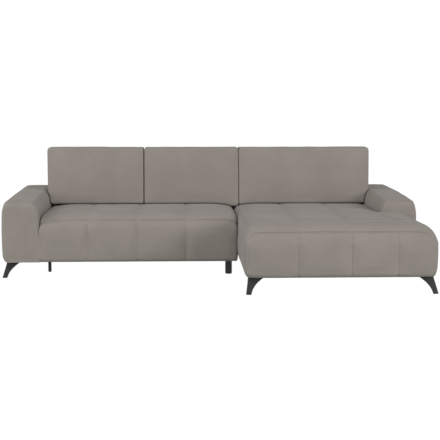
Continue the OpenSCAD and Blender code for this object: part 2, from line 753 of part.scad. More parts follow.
module arm_cover() {
    difference() {
        arm_form();
        arm_core(seat_gap, leg_h - cut);
        translate([seat_x0 - pad_inner - cut, y_sofa + pad_front - seat_gap, leg_h - cut])
            cube([pad_inner + 2 * cut, arm_len - 2 * pad_front + 2 * seat_gap, window_h - leg_h + cut]);
    }
}

// Two boards with studs between them, a sloping top and blocks for the feet
module arm_frame() {
    inside = arm_w - pad_outer - pad_inner;
    stud = 45;
    difference() {
        arm_core(0, z_rail);
        // Bays between the studs
        bay = (arm_len - 2 * pad_front - 3 * stud) / 2;
        for (i = [0, 1])
            translate([x_left + pad_outer + arm_board_t, y_sofa + pad_front + stud + i * (bay + stud),
                leg_h + block_h])
                cube([inside - 2 * arm_board_t, bay,
                    arm_front_h - pad_top - 2 * arm_board_t - leg_h - block_h]);
        // Open bottom between the foot blocks
        translate([x_left + pad_outer + arm_board_t, y_sofa + pad_front + 130, leg_h - cut])
            cube([inside - 2 * arm_board_t, arm_len - 2 * pad_front - 260, block_h + 2 * cut]);
        arm_bolt_holes();
        leg_screws();
        leg_studs();
    }
}

module sofa_arm_cover() { color(fabric) arm_cover(); }
module sofa_arm_frame() { color(timber) arm_frame(); }
module chaise_arm_cover() {
    color(fabric) difference() {
        mirror([1, 0, 0]) arm_cover();
        side_rail_window(y_sofa, pad_front);
    }
}
module chaise_arm_frame() { color(timber) mirror([1, 0, 0]) arm_frame(); }

// Bolts that tie the left arm to its side rail; the right arm has the same, mirrored
bolt_z = z_rail + rail_h / 2;
bolt_ys = [y_sofa + 160, y_sofa + 0.42 * arm_len, y_panel - rail_t - 60];
bolt_x = rail_x0 + rail_t;
module arm_bolt_holes() {
    for (y = bolt_ys) translate([bolt_x + cut, y, bolt_z]) rotate([0, -90, 0])
        cylinder(d = bolt_d + 2 * hole_gap, h = rail_t + arm_board_t + 2 * cut);
}
module arm_bolt_set() {
    for (y = bolt_ys) translate([bolt_x, y, bolt_z]) rotate([0, -90, 0]) {
        cylinder(d = bolt_d, h = rail_t + arm_board_t + 12);
        translate([0, 0, -4]) cylinder(d = 2.2 * bolt_d, h = 4);
        translate([0, 0, rail_t + arm_board_t]) cylinder(d = 1.8 * bolt_d, h = 6, $fn = 6);
    }
}
module arm_bolts() {
    color(steel) {
        arm_bolt_set();
        mirror([1, 0, 0]) arm_bolt_set();
    }
}

// Feet
// Section of a blade foot: an L with its outer corner at the origin and its legs along +X and +Y
function blade_section(w, t) = [
    [0, 5], [1.5, 1.5], [5, 0], [w - 3, 0], [w, 3], [w, t], [t, t], [t, w], [3, w], [0, w - 3]];

// Blade foot with its outer front corner, at the top, at the origin of the plan
module blade_foot(splay) {
    h = leg_h - foot_plate_t + 0.5 - glide_t;
    levels = [for (i = [8:-1:0]) i / 8];
    // The ends of the blades fan out from inside the corner of the L
    hub = foot_blade_t * 0.6;
    difference() {
        union() {
            loft([for (u = levels)
                let (w = foot_sole_w + (foot_top_w - foot_sole_w) * pow(u, 2.2), out = splay * (1 - u))
                    [for (p = blade_section(w, foot_blade_t)) [p[0] - out, p[1] - out / 2, glide_t + h * u]]],
                [[hub, hub, glide_t + h], [hub - splay, hub - splay / 2, glide_t]]);
            translate([0, 0, leg_h - foot_plate_t]) cube([foot_top_w, foot_top_w, foot_plate_t]);
        }
        for (p = plate_screws) translate([p[0], p[1], leg_h - foot_plate_t - cut])
            cylinder(d = screw_d + 2 * hole_gap, h = foot_plate_t + 2 * cut);
    }
}
// Screws of a blade foot, clear of its blades
screw_low = foot_blade_t + 12;
plate_screws = [[screw_low, foot_top_w - 12], [foot_top_w - 12, screw_low],
    [foot_top_w - 12, foot_top_w - 12], [screw_low + 14, screw_low + 14]];

module at_left_foot() { translate([foot_x, y_sofa + foot_setback, 0]) children(); }
module at_chaise_left_foot() { translate([chaise_foot_x, y_chaise + foot_setback, 0]) children(); }
module at_chaise_right_foot() {
    translate([right_foot_x, y_chaise + foot_setback, 0]) mirror([1, 0, 0]) children();
}

module sofa_front_foot() { color(black) at_left_foot() blade_foot(foot_splay); }
module chaise_left_foot() { color(black) at_chaise_left_foot() blade_foot(foot_splay / 2); }
module chaise_right_foot() { color(black) at_chaise_right_foot() blade_foot(foot_splay); }

// Places of the round legs
sofa_cylinders = [[seat_x1 - cylinder_inset, y_sofa + cylinder_front],
    [seat_x1 - cylinder_inset - 18, y_panel - rail_t - 30], [arm_leg_x, y_rear - cylinder_rear]];
chaise_cylinders = [[crail_x0 + rail_t + 30, y_panel - rail_t - 30], [-arm_leg_x, y_rear - cylinder_rear]];
stud_d = 8;
stud_l = 26;

// Moulded leg with a threaded stud that screws into the frame
module cylinder_leg() {
    rotate_extrude() polygon([
        [0, glide_t], [leg_d / 2 - 2, glide_t], [leg_d / 2, glide_t + 2],
        [leg_d / 2, leg_h], [stud_d / 2, leg_h], [stud_d / 2, leg_h + stud_l], [0, leg_h + stud_l]]);
}
module sofa_cylinder_legs() { color(black) for (p = sofa_cylinders) translate(p) cylinder_leg(); }
module chaise_cylinder_legs() { color(black) for (p = chaise_cylinders) translate(p) cylinder_leg(); }
module leg_studs() {
    for (p = concat(sofa_cylinders, chaise_cylinders)) translate([p[0], p[1], leg_h - cut])
        cylinder(d = stud_d + 2 * hole_gap, h = stud_l + 2 * cut);
}

// Slim steel leg under the left end of the seat
slim_screws = [for (a = [45:90:315]) [slim_leg_x + 20 * cos(a), slim_leg_y + 20 * sin(a)]];
module sofa_support_leg() {
    color(black) difference() {
        translate([slim_leg_x, slim_leg_y, glide_t]) {
            cylinder(d = slim_leg_d, h = leg_h - glide_t - 3);
            translate([0, 0, leg_h - glide_t - 3]) cylinder(d = 54, h = 3);
        }
        for (p = slim_screws) translate([p[0], p[1], leg_h - 3 - cut])
            cylinder(d = screw_d + 2 * hole_gap, h = 3 + 2 * cut);
    }
}

// A pan-head screw that points up, with its head under a plate at z
module screw(z) {
    translate([0, 0, z - 3]) cylinder(d = 1.8 * screw_d, h = 3);
    translate([0, 0, z - 0.5]) cylinder(d = screw_d, h = screw_l + 0.5);
}
module foot_screw_set(extra) {
    for (p = plate_screws) translate([p[0], p[1], 0]) {
        if (extra == 0) screw(leg_h - foot_plate_t);
        else translate([0, 0, leg_h - cut]) cylinder(d = screw_d + extra, h = screw_l + 2 * cut);
    }
}
module foot_screws() {
    color(steel) {
        at_left_foot() foot_screw_set(0);
        at_chaise_left_foot() foot_screw_set(0);
        at_chaise_right_foot() foot_screw_set(0);
        for (p = slim_screws) translate(p) screw(leg_h - 3);
    }
}
// Holes for the foot screws in whatever the feet are screwed to
module leg_screws() {
    at_left_foot() foot_screw_set(2 * hole_gap);
    at_chaise_left_foot() foot_screw_set(2 * hole_gap);
    at_chaise_right_foot() foot_screw_set(2 * hole_gap);
    for (p = slim_screws) translate([p[0], p[1], leg_h - cut])
        cylinder(d = screw_d + 2 * hole_gap, h = screw_l + 2 * cut);
}

module blade_glide(splay) {
    w = foot_sole_w - 1;
    translate([-splay + 1, -splay / 2 + 1, 0]) linear_extrude(glide_t) polygon([
        [0, 3], [3, 0], [w - 1, 0], [w - 1, foot_blade_t - 2], [foot_blade_t - 2, foot_blade_t - 2],
        [foot_blade_t - 2, w - 1], [0, w - 1]]);
}
module floor_glides() {
    color(black) {
        at_left_foot() blade_glide(foot_splay);
        at_chaise_left_foot() blade_glide(foot_splay / 2);
        at_chaise_right_foot() blade_glide(foot_splay);
        for (p = concat(sofa_cylinders, chaise_cylinders)) translate(p) cylinder(d = leg_d - 6, h = glide_t);
        translate([slim_leg_x, slim_leg_y, 0]) cylinder(d = slim_leg_d - 4, h = glide_t);
    }
}

// Connectors between the modules: a hook on the left one drops into a socket on the chaise
connector_z = leg_h + 100;
connector_ys = [y_sofa + 120, y_panel - rail_t - 90];
hook_w = 24;
hook_t = 5;
socket_x = crail_x0 - 4;
module connector_window(x, w) {
    translate([x, connector_ys[0] - 40, connector_z - 45]) cube([w, 80, 90]);
}
module sofa_connector_hooks() {
    tip = socket_x - 8;
    color(steel) for (y = connector_ys) translate([0, y, connector_z]) {
        translate([rail_x1, -35, -40]) cube([4, 70, 80]);
        translate([rail_x1 + 4, -hook_w / 2, 10]) cube([tip - rail_x1 - 4, hook_w, hook_t]);
        translate([tip - hook_t, -hook_w / 2, -20]) cube([hook_t, hook_w, 30]);
    }
}
module chaise_connector_sockets() {
    // Inner faces of the pocket round the hook
    near = socket_x - 8 - hook_t - seat_gap;
    far = socket_x - 8 + seat_gap;
    half = hook_w / 2 + seat_gap;
    color(steel) for (y = connector_ys) translate([0, y, connector_z]) {
        translate([socket_x, -35, -40]) cube([4, 70, 80]);
        translate([0, 0, -24]) linear_extrude(30) difference() {
            translate([near - 3, -half - 3]) square([socket_x - near + 3, 2 * half + 6]);
            translate([near, -half]) square([far - near, 2 * half]);
        }
    }
}

// Runners and carriages
runner_xs = [for (b = back_x) [b[0] + back_pad_side + upright_w / 2, b[1] - back_pad_side - upright_w / 2]];

// Steel channel with its slot on top and an end stop at each end
module runner(x) {
    w = runner_w;
    t = runner_t;
    lip = (w - slot_w) / 2;
    translate([x - w / 2, y_runner, z_deck]) {
        translate([0, runner_l, 0]) rotate([90, 0, 0]) linear_extrude(runner_l) polygon([
            [0, 0], [w, 0], [w, runner_h], [w - lip, runner_h], [w - lip, runner_h - t],
            [w - t, runner_h - t], [w - t, t], [t, t], [t, runner_h - t],
            [lip, runner_h - t], [lip, runner_h], [0, runner_h]]);
        for (y = [0, runner_l - t]) translate([t / 2, y, t / 2]) cube([w - t, t, runner_h - t]);
    }
}
module sofa_runners() { color(steel) for (b = [0, 1], x = runner_xs[b]) runner(x); }
module chaise_runners() { color(steel) for (x = runner_xs[2]) runner(x); }

// Nylon block in the channel, with a neck through the slot that carries the bracket
module carriage(x) {
    inner = runner_w / 2 - runner_t - seat_gap;
    neck = slot_w / 2 - seat_gap;
    low = runner_t + seat_gap;
    high = runner_h - runner_t - seat_gap;
    difference() {
        translate([x, y_carriage + carriage_l, z_deck]) rotate([90, 0, 0])
            linear_extrude(carriage_l) polygon([
                [-inner, low], [inner, low], [inner, high], [neck, high], [neck, z_neck - z_deck],
                [-neck, z_neck - z_deck], [-neck, high], [-inner, high]]);
        for (y = carriage_bolt_ys) translate([x, y, z_neck - 14])
            cylinder(d = bracket_bolt_d + 2 * hole_gap, h = 20);
    }
}
carriage_bolt_ys = [y_carriage + 14, y_carriage + carriage_l - 14];
plate_y = frame_y0 + 1;
bracket_bolt_y = plate_y + bracket_w / 2;
bracket_bolt_zs = [z_frame + 30, z_frame + 75];

// Angle bracket: a foot on the carriage and a plate up the inner side of the upright.
// side is 1 at the left upright and -1 at the right one.
module bracket(x, side) {
    foot_w = 40;
    plate_x = upright_w / 2;
    translate([x, 0, 0]) mirror([side < 0 ? 1 : 0, 0, 0]) difference() {
        union() {
            translate([-foot_w / 2 + 5, y_carriage, z_neck]) cube([foot_w - 5, carriage_l, bracket_t]);
            translate([plate_x + seat_gap, plate_y, z_neck]) cube([bracket_t, bracket_w, bracket_h]);
        }
        for (y = carriage_bolt_ys) translate([0, y, z_neck - cut])
            cylinder(d = bracket_bolt_d + 2 * hole_gap, h = bracket_t + 2 * cut);
        for (z = bracket_bolt_zs) translate([plate_x - cut, bracket_bolt_y, z]) rotate([0, 90, 0])
            cylinder(d = bracket_bolt_d + 2 * hole_gap, h = bracket_t + seat_gap + 2 * cut);
    }
}
module bracket_bolts(x, side) {
    plate_x = upright_w / 2 + seat_gap + bracket_t;
    translate([x, 0, 0]) mirror([side < 0 ? 1 : 0, 0, 0]) {
        for (y = carriage_bolt_ys) translate([0, y, z_neck - 12]) {
            cylinder(d = bracket_bolt_d, h = 12 + bracket_t);
            translate([0, 0, 12 + bracket_t]) cylinder(d = 1.8 * bracket_bolt_d, h = 4);
        }
        for (z = bracket_bolt_zs) translate([plate_x, bracket_bolt_y, z]) rotate([0, -90, 0]) {
            cylinder(d = bracket_bolt_d, h = 30);
            translate([0, 0, -4]) cylinder(d = 1.8 * bracket_bolt_d, h = 4);
        }
    }
}

// Back blocks
// How far the side of a back may reach over an arm at the height z, clear of the arm's rounding
function arm_reach(z) =
    let (s = min(1, max(0, 1 - (arm_rear_h - arm_crown - z) / arm_in_h)))
        arm_in_w * (1 - sqrt(1 - s * s)) - back_arm_gap;

// Heights of the rings of points up a back, closer together beside the rounding of an arm
back_levels = [for (z = concat(
    [for (k = [0.65, 0.42, 0.25, 0.13, 0.05, 0]) arm_rear_h - arm_crown - k * arm_in_h],
    [for (k = [0.15, 0.4, 0.65, 0.9]) arm_rear_h + k * (back_top_h - arm_rear_h - 40)]))
    if (z > z_back + 30) z];

function back_ring(x, b, e) =
    let (x0 = back_x[b][0], x1 = back_x[b][1],
         across = (2 * x - x0 - x1) / (x1 - x0),
         side = across < 0 ? -1 : 1,
         over = back_overs[b][across < 0 ? 0 : 1],
         crown = back_crown * (1 - pow(across, 4)),
         zb = z_back + e / 2, zt = back_top_h - top_bow - e, h = back_top_h - z_back,
         yr = y_back_end - e / 2,
         front = function (z) y_back + e / 2 + back_lean * (z - z_back) / h
             - crown * sin(180 * (z - z_back) / h),
         rear = function (z) yr + 5 * (1 - across * across) * sin(180 * (z - z_back) / h),
         section = concat(
             [for (a = [0, 45, 90]) [front(zb) + back_low_r * (1 - sin(a)), zb + back_low_r * (1 - cos(a))]],
             [for (z = back_levels) [front(z), z]],
             [for (a = [0, 30, 60, 90])
                 [front(zt - back_top_r) + back_top_r * (1 - cos(a)), zt - back_top_r * (1 - sin(a))]],
             [[(front(zt) + yr) / 2, zt + top_bow]],
             [for (a = [90, 60, 30, 0]) [yr - back_top_r * (1 - cos(a)), zt - back_top_r * (1 - sin(a))]],
             [for (i = [len(back_levels) - 1:-1:0]) [rear(back_levels[i]), back_levels[i]]],
             [for (a = [90, 45, 0]) [yr - back_low_r * (1 - sin(a)), zb + back_low_r * (1 - cos(a))]]))
    [for (p = section)
        let (lean = back_side_lean * max(0, back_top_h - p[1]) / h,
             draw = over == 0 ? 0 : max(lean, over - arm_reach(p[1])))
            [x - side * draw * across * across, p[0], p[1]]];

module back_form(b) {
    x0 = back_x[b][0];
    x1 = back_x[b][1];
    places = rising(concat(
        [for (t = [0, 0.1, 0.3, 0.6, 1]) each [x0 + t * back_corner_w, x1 - t * back_corner_w]],
        [for (i = [1:5]) x0 + (x1 - x0) * i / 6]));
    ladder_loft([for (x = places)
        back_ring(x, b, fall(min(x - x0, x1 - x), back_corner_w, back_corner_h))]);
}

function back_frame_x(b) = [back_x[b][0] + back_pad_side, back_x[b][1] - back_pad_side];

module back_cushion(b) {
    f = back_frame_x(b);
    difference() {
        back_form(b);
        translate([f[0] - seat_gap, frame_y0 - strap_t - seat_gap, z_frame - seat_gap])
            cube([f[1] - f[0] + 2 * seat_gap, upright_d + strap_t + 2 * seat_gap,
                z_frame_top - z_frame + 2 * seat_gap]);
        // Slots for the brackets
        for (x = [f[0] + upright_w, f[1] - upright_w - bracket_t - 2 * seat_gap])
            translate([x, plate_y - seat_gap, z_back - cut])
                cube([bracket_t + 2 * seat_gap, bracket_w + 2 * seat_gap, cover_t + 2 * cut]);
    }
}

// Ladder frame: two uprights and three cross rails
module back_frame(b) {
    f = back_frame_x(b);
    rail_d = 22;
    difference() {
        union() {
            for (x = [f[0], f[1] - upright_w]) translate([x, frame_y0, z_frame])
                cube([upright_w, upright_d, z_frame_top - z_frame]);
            for (z = [z_frame, (z_frame + z_frame_top - back_rail_h) / 2, z_frame_top - back_rail_h])
                translate([f[0] + upright_w / 2, frame_y1 - rail_d, z])
                    cube([f[1] - f[0] - upright_w, rail_d, back_rail_h]);
        }
        for (z = bracket_bolt_zs, x = [f[0], f[1] - upright_w])
            translate([x - cut, bracket_bolt_y, z]) rotate([0, 90, 0])
                cylinder(d = bracket_bolt_d + 2 * hole_gap, h = upright_w + 2 * cut);
    }
}

module back_webbing(b) {
    f = back_frame_x(b);
    span = z_frame_top - z_frame - strap_h;
    for (i = [0:strap_count - 1])
        translate([f[0], frame_y0 - strap_t, z_frame + span * (i + 0.5) / strap_count])
            cube([f[1] - f[0], strap_t, strap_h]);
}

module back_brackets(b) {
    bracket(runner_xs[b][0], 1);
    bracket(runner_xs[b][1], -1);
}
module back_bolts(b) {
    bracket_bolts(runner_xs[b][0], 1);
    bracket_bolts(runner_xs[b][1], -1);
}

module back_left_cushion() { color(fabric) back_cushion(0); }
module back_left_frame() { color(timber) back_frame(0); }
module back_left_webbing() { color(black) back_webbing(0); }
module back_left_brackets() { color(steel) back_brackets(0); }
module back_left_carriages() { color("white") for (x = runner_xs[0]) carriage(x); }
module back_left_bolts() { color(steel) back_bolts(0); }
module back_middle_cushion() { color(fabric) back_cushion(1); }
module back_middle_frame() { color(timber) back_frame(1); }
module back_middle_webbing() { color(black) back_webbing(1); }
module back_middle_brackets() { color(steel) back_brackets(1); }
module back_middle_carriages() { color("white") for (x = runner_xs[1]) carriage(x); }
module back_middle_bolts() { color(steel) back_bolts(1); }
module back_right_cushion() { color(fabric) back_cushion(2); }
module back_right_frame() { color(timber) back_frame(2); }
module back_right_webbing() { color(black) back_webbing(2); }
module back_right_brackets() { color(steel) back_brackets(2); }
module back_right_carriages() { color("white") for (x = runner_xs[2]) carriage(x); }
module back_right_bolts() { color(steel) back_bolts(2); }

sofa_seat_cover();
sofa_seat_foam();
sofa_springs();
sofa_spring_clips();
sofa_front_rail();
sofa_spring_rail();
sofa_rear_rail();
sofa_side_rails();
sofa_leg_blocks();
sofa_rear_deck();
sofa_rear_panel();
sofa_lining();
sofa_arm_cover();
sofa_arm_frame();
sofa_front_foot();
sofa_support_leg();
sofa_cylinder_legs();
sofa_runners();
sofa_connector_hooks();
chaise_seat_cover();
chaise_seat_foam();
chaise_springs();
chaise_spring_clips();
chaise_front_rail();
chaise_cross_rail();
chaise_spring_rail();
chaise_rear_rail();
chaise_side_rails();
chaise_leg_blocks();
chaise_rear_deck();
chaise_rear_panel();
chaise_lining();
chaise_arm_cover();
chaise_arm_frame();
chaise_left_foot();
chaise_right_foot();
chaise_cylinder_legs();
chaise_runners();
chaise_connector_sockets();
arm_bolts();
foot_screws();
floor_glides();
back_left_cushion();
back_left_frame();
back_left_webbing();
back_left_brackets();
back_left_carriages();
back_left_bolts();
back_middle_cushion();
back_middle_frame();
back_middle_webbing();
back_middle_brackets();
back_middle_carriages();
back_middle_bolts();
back_right_cushion();
back_right_frame();
back_right_webbing();
back_right_brackets();
back_right_carriages();
back_right_bolts();
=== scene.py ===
import json
import math

import bpy
import numpy as np
from mathutils import Euler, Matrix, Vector
from mathutils.kdtree import KDTree


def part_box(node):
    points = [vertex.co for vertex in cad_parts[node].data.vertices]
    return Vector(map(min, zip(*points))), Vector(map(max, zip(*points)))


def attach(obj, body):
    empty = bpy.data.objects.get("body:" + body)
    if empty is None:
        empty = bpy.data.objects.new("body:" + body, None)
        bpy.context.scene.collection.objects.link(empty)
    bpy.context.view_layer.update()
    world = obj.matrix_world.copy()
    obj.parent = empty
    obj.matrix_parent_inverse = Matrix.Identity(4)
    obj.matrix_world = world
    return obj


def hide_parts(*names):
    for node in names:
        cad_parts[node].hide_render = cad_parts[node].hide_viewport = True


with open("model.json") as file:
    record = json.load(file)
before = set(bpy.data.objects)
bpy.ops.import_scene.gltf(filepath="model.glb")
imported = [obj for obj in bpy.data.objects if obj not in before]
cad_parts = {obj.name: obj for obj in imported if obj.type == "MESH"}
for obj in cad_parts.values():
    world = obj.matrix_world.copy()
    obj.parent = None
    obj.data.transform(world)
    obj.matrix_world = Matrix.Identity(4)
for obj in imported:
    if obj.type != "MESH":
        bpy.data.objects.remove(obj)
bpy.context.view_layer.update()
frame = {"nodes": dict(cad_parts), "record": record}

# Camera of the photograph: place in metres, turn and dip in degrees, lens and sensor in millimetres
CAMERA_PLACE = (-0.189, -7.206, 1.214)
CAMERA_TURN = 2.09
CAMERA_DIP = 6.55
CAMERA_LENS = 82.37
CAMERA_SENSOR = 36

# Studio lamps: name, place, size, watts. All of them point at LAMP_AIM
LAMPS = (
    ("key", (0.0, -9.0, 9.0), (6.0, 4.0), 600),
    ("right", (9.0, -9.0, 4.0), (5.0, 4.0), 670),
    ("side", (-7.0, -2.0, 3.0), (4.0, 4.0), 230),
)
LAMP_AIM = (0, 0, 0.4)
WORLD_LIGHT = 0.28
FLOOR_TONE = 0.55
FLOOR_GLOW = 1.1
FLOOR_GLOW_SHARE = 0.92

# Places taken from the frame. All the sizes below are in metres
SEAT_LO, SEAT_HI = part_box("sofa_seat_cover")
CHAISE_LO, CHAISE_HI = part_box("chaise_seat_cover")
ARM_LO, ARM_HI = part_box("sofa_arm_cover")
FLOOR_GAP = SEAT_LO[2]
SEAT_DEPTH = 0.624
Y_SOFA = ARM_LO[1]
Y_BACKS = Y_SOFA + SEAT_DEPTH
CROWN = CHAISE_HI[2]
ARM_X = -SEAT_LO[0]

# Seat profile: height of the sewn line, start and depth of the rounded front edge, radii of the lower front and
# the rear edge, lift of the underside off the lining, and steps between the rings and along the top
SEAM_H = 0.409
SOFA_SEAM_UP = 0.004
ROUND_H = 0.330
ROUND_D = 0.140
LOW_R = 0.030
SEAT_REAR_R = 0.010
LIFT = 0.0018
RING_STEP = 0.020
TOP_STEP = 0.03

# Falls of the seats' tops and corners towards their ends: how far in they start, and how deep they get
JOINT_SWEEP, JOINT_ROLL = (0.200, 0.036), (0.045, 0.028)
LEFT_SWEEP, LEFT_ROLL = (0.260, 0.034), (0.020, 0.028)
RIGHT_SWEEP, RIGHT_ROLL = (0.294, 0.033), (0.132, 0.086)
BESIDE_ARM, BESIDE_RUN = (0.130, 0.016), 0.13
SOFA_CORNER_LOW, SOFA_CORNER_FRONT = (0.012, 0.012), (0.018, 0.020)
CHAISE_CORNER_LEFT, CHAISE_CORNER_RIGHT = (0.036, 0.036), (0.040, 0.040)

# Sewn lines across the seats, lines along the chaise, and the ends of the chaise's front panel
SOFA_SEAMS = [SEAT_HI[0] - w for w in (1.056, 0.706, 0.363)]
CHAISE_SEAMS = [CHAISE_LO[0] + 0.347, CHAISE_LO[0] + 0.6875, ARM_X - 0.016]
CROSS_SEAMS = [CHAISE_LO[1] + 0.235 + 0.385 * i for i in range(3)]
PANEL_X = [CHAISE_LO[0] + 0.031, CHAISE_HI[0] - 0.0335]
PANEL_R = 0.050
SOFA_CHANNEL = 0.350

# Depth and reach of a sewn line's thread, of the hollow that it draws, and of a lapped seam's two sides
STITCH_DEPTH = 0.0018
STITCH_REACH = 0.0045
DRAW_DEPTH = 0.0055
DRAW_REACH = 0.060
FRONT_DRAW = 0.0025
LAP_STEEP = 0.0030
LAP_LONG = 0.012
SOFA_LAP = 0.0085
CHAISE_LAP_LOW = 0.0020
CHAISE_LAP_RISE = 0.0060

# Where a cover is held: distances from the sewn lines, the edges and the underside, between which it comes free
SEAM_HOLD = (0.004, 0.035)
EDGE_HOLD = (0.004, 0.05)
LOW_HOLD = (0.015, 0.06)

# Heights over the underside: of what still counts as the underside, and of the lowest unevenness
FLAT = 0.004
SOLE = 0.02

# Arms: top at the front and at the rear, the roundings of the inner and outer top edges, the heights between
# which the inner side steps in, the lower outer edge, and the falls towards the front and the rear ends
ARM_FRONT_H = 0.542
ARM_REAR_H = 0.576
ARM_RISE_POWER = 1.6
ARM_IN = (0.055, 0.105)
ARM_OUT = (0.032, 0.118)
ARM_STEP = (0.300, 0.345)
ARM_STEP_TOP = 0.40
ARM_CROWN = 0.003
ARM_BOW = 0.002
LOW_W = 0.035
LOW_H = 0.067
ARM_TOP_FALLS = (0.045, 0.041), (0.050, 0.024)
ARM_INNER_FALLS = (0.022, 0.024), (0.022, 0.020)
ARM_OUTER_FALLS = (0.018, 0.018), (0.024, 0.024)
ARM_CAP = (0.004, 0.010, 0.018, 0.03, 0.05, 0.08)

# Backs: depth at the foot, how far top and rear stay inside the solid's box, lean and crown of the front, bows of
# the rear and the top, lean and rounding of the sides, radii of the edges, sewn border, and room over the arms
BACK_DEPTH = 0.287
BACK_TOP_IN = 0.002
BACK_REAR_IN = 0.005
BACK_LEAN = 0.060
BACK_CROWN = 0.014
BACK_REAR_BOW = 0.005
BACK_TOP_BOW = 0.002
BACK_SIDE_LEAN = 0.007
BACK_SIDE_ROUND = (0.015, 0.014)
BACK_LOW_R = 0.020
BACK_TOP_R = 0.026
BACK_BORDER = 0.013
BACK_COLUMNS = 12
ARM_CLEARANCE = 0.0035

# Droop of the backs' lower edges over the joint between the modules, as a share of the seats' fall
DROOP_SHARE = 0.85
DROOP_MOST = 0.021
DROOP_FADE = 0.10

# Rear panels: radii of their upper and lower edges
REAR_TOP_R = 0.016
REAR_LOW_R = 0.012

# Cloth: frames that it runs, steps of the weight that holds it, and how many of its points, and how evenly, one
# point of the piece follows
CLOTH_FRAMES = 20
HELD_LEVELS = 10
NEAR_POINTS = 8
NEAR_BLUR = 0.008

# A distance beyond all pieces, and one below all sizes
FAR = 9.0
TINY = 1e-9


# Curves and spacing

def fall(t, a, b):
    """Drop of a quarter ellipse of half-axes a and b, at distance t in from its end."""
    t = np.clip(np.asarray(t, float) / a, 0, 1)
    return b * (1 - np.sqrt(1 - (1 - t) ** 2))


def ease(a, b, v):
    """0 up to a, 1 from b on, and a smooth rise between them."""
    t = np.clip((np.asarray(v, float) - a) / (b - a), 0, 1)
    return t * t * (3 - 2 * t)


def quarter(count):
    """Angles of a quarter turn."""
    return np.linspace(0, math.pi / 2, count)


def stitch(d, draw=DRAW_DEPTH, thread=STITCH_DEPTH):
    """Depth of a sewn line at distance d from it: a thin crease in a wide soft hollow."""
    d = np.abs(d)
    return thread * np.exp(-(d / STITCH_REACH) ** 1.5) + draw * np.clip(1 - d / DRAW_REACH, 0, 1) ** 2.5


def lap(d, depth):
    """Depth of a seam where the outer cloth laps over: steep on its positive side, long on the other."""
    return depth * np.where(d > 0, np.exp(-(np.abs(d) / LAP_STEEP) ** 2), np.exp(-np.abs(d) / LAP_LONG))


def nearest(v, lines):
    """Distance from v to the nearest of the lines, or FAR where there are none."""
    v = np.asarray(v, float)
    if not lines:
        return np.full(np.shape(v), FAR)
    return np.min([np.abs(v - s) for s in lines], axis=0)


def spaced(a, b, step, lines=(), fine=0.0014, ends=False):
    """Places from a to b about a step apart, closer together at the lines and, if asked, at the ends."""
    marks = list(lines) + ([a, b] if ends else [])
    out = [a]
    while out[-1] < b - TINY:
        here = out[-1] + TINY
        ahead = min([m - out[-1] for m in marks if m > here], default=FAR)
        size = max(fine, min(step, 0.35 * float(nearest(here, marks)) + fine))
        out.append(min(b, out[-1] + min(size, max(ahead, fine * 0.5))))
    if len(out) > 2 and out[-1] - out[-2] < fine * 0.4:
        out.pop(-2)
    return np.array(out)


def ripple(p, seed, size, depth):
    """A smooth, seeded unevenness of the padding, from a few crossing waves."""
    rng = np.random.default_rng(seed)
    total = np.zeros(len(p))
    for _ in range(7):
        way = rng.normal(size=3)
        way /= np.linalg.norm(way)
        total += np.sin(2 * math.pi * (p @ way) / (size * rng.uniform(0.7, 1.6)) + rng.uniform(0, 6.3))
    return depth * total / 3.5


def pucker(along, d, seed, depth=0.0012, reach=0.026):
    """Short folds across a sewn line, where the thread gathers the cloth."""
    rng = np.random.default_rng(seed)
    wave = sum(np.sin(2 * math.pi * along / rng.uniform(0.030, 0.085) + rng.uniform(0, 6.3)) for _ in range(5))
    return depth * wave / 2.2 * np.exp(-np.abs(d) / reach)


# Meshes

def make_mesh(name, points, faces):
    """A closed piece in the scene, with its faces outward."""
    mesh = bpy.data.meshes.new(name)
    mesh.from_pydata([tuple(p) for p in points], [], faces)
    mesh.validate()
    piece = bpy.data.objects.new(name, mesh)
    bpy.context.scene.collection.objects.link(piece)
    outward(piece)
    return piece


def outward(piece):
    """Turns every face of a closed piece outward, and shades it smooth up to a crease."""
    mesh = piece.data
    volume = 0.0
    for poly in mesh.polygons:
        v = [mesh.vertices[i].co for i in poly.vertices]
        for k in range(1, len(v) - 1):
            volume += v[0].dot(v[k].cross(v[k + 1]))
    if volume < 0:
        mesh.flip_normals()
    mesh.shade_smooth()
    mesh.set_sharp_from_angle(angle=math.radians(48))


def join(faces, a, b, flip=False):
    """Adds a band of quads between two equal rings of point numbers."""
    n = len(a)
    for j in range(n):
        k = (j + 1) % n
        quad = (int(a[j]), int(a[k]), int(b[k]), int(b[j]))
        faces.append(quad[::-1] if flip else quad)


def skin(rings):
    """Points and faces of the open skin through equal rings."""
    m, n = rings.shape[:2]
    faces = []
    for i in range(m - 1):
        join(faces, np.arange(i * n, (i + 1) * n), np.arange((i + 1) * n, (i + 2) * n))
    return rings.reshape(-1, 3), faces


def loft(name, rings, axis, end_insets):
    """A closed skin through equal rings. axis is the way the rings follow each other."""
    m, n = rings.shape[:2]
    flat, faces = skin(rings)
    points = [flat]
    for ring, flip in ((np.arange(n), False), (np.arange((m - 1) * n, m * n), True)):
        add_cap(points, faces, flat[ring], ring, end_insets, flip, axis)
    return make_mesh(name, np.vstack(points), faces)


def add_cap(points, faces, base, ring, insets, flip, axis):
    """Closes a flat end with rings drawn in towards its middle, and one face."""
    lo, hi = base.min(0), base.max(0)
    mid, half = (lo + hi) / 2, np.maximum((hi - lo) / 2, 1e-6)
    reach = min(half[k] for k in range(3) if k != axis)
    last = ring
    total = sum(len(p) for p in points)
    for inset in insets:
        drawn = mid + (base - mid) * (1 - min(inset, reach * 0.97) / half)
        drawn[:, axis] = base[:, axis]
        points.append(drawn)
        now = np.arange(total, total + len(drawn))
        total += len(drawn)
        join(faces, last, now, not flip)
        last = now
    faces.append(tuple(int(i) for i in (last if flip else last[::-1])))


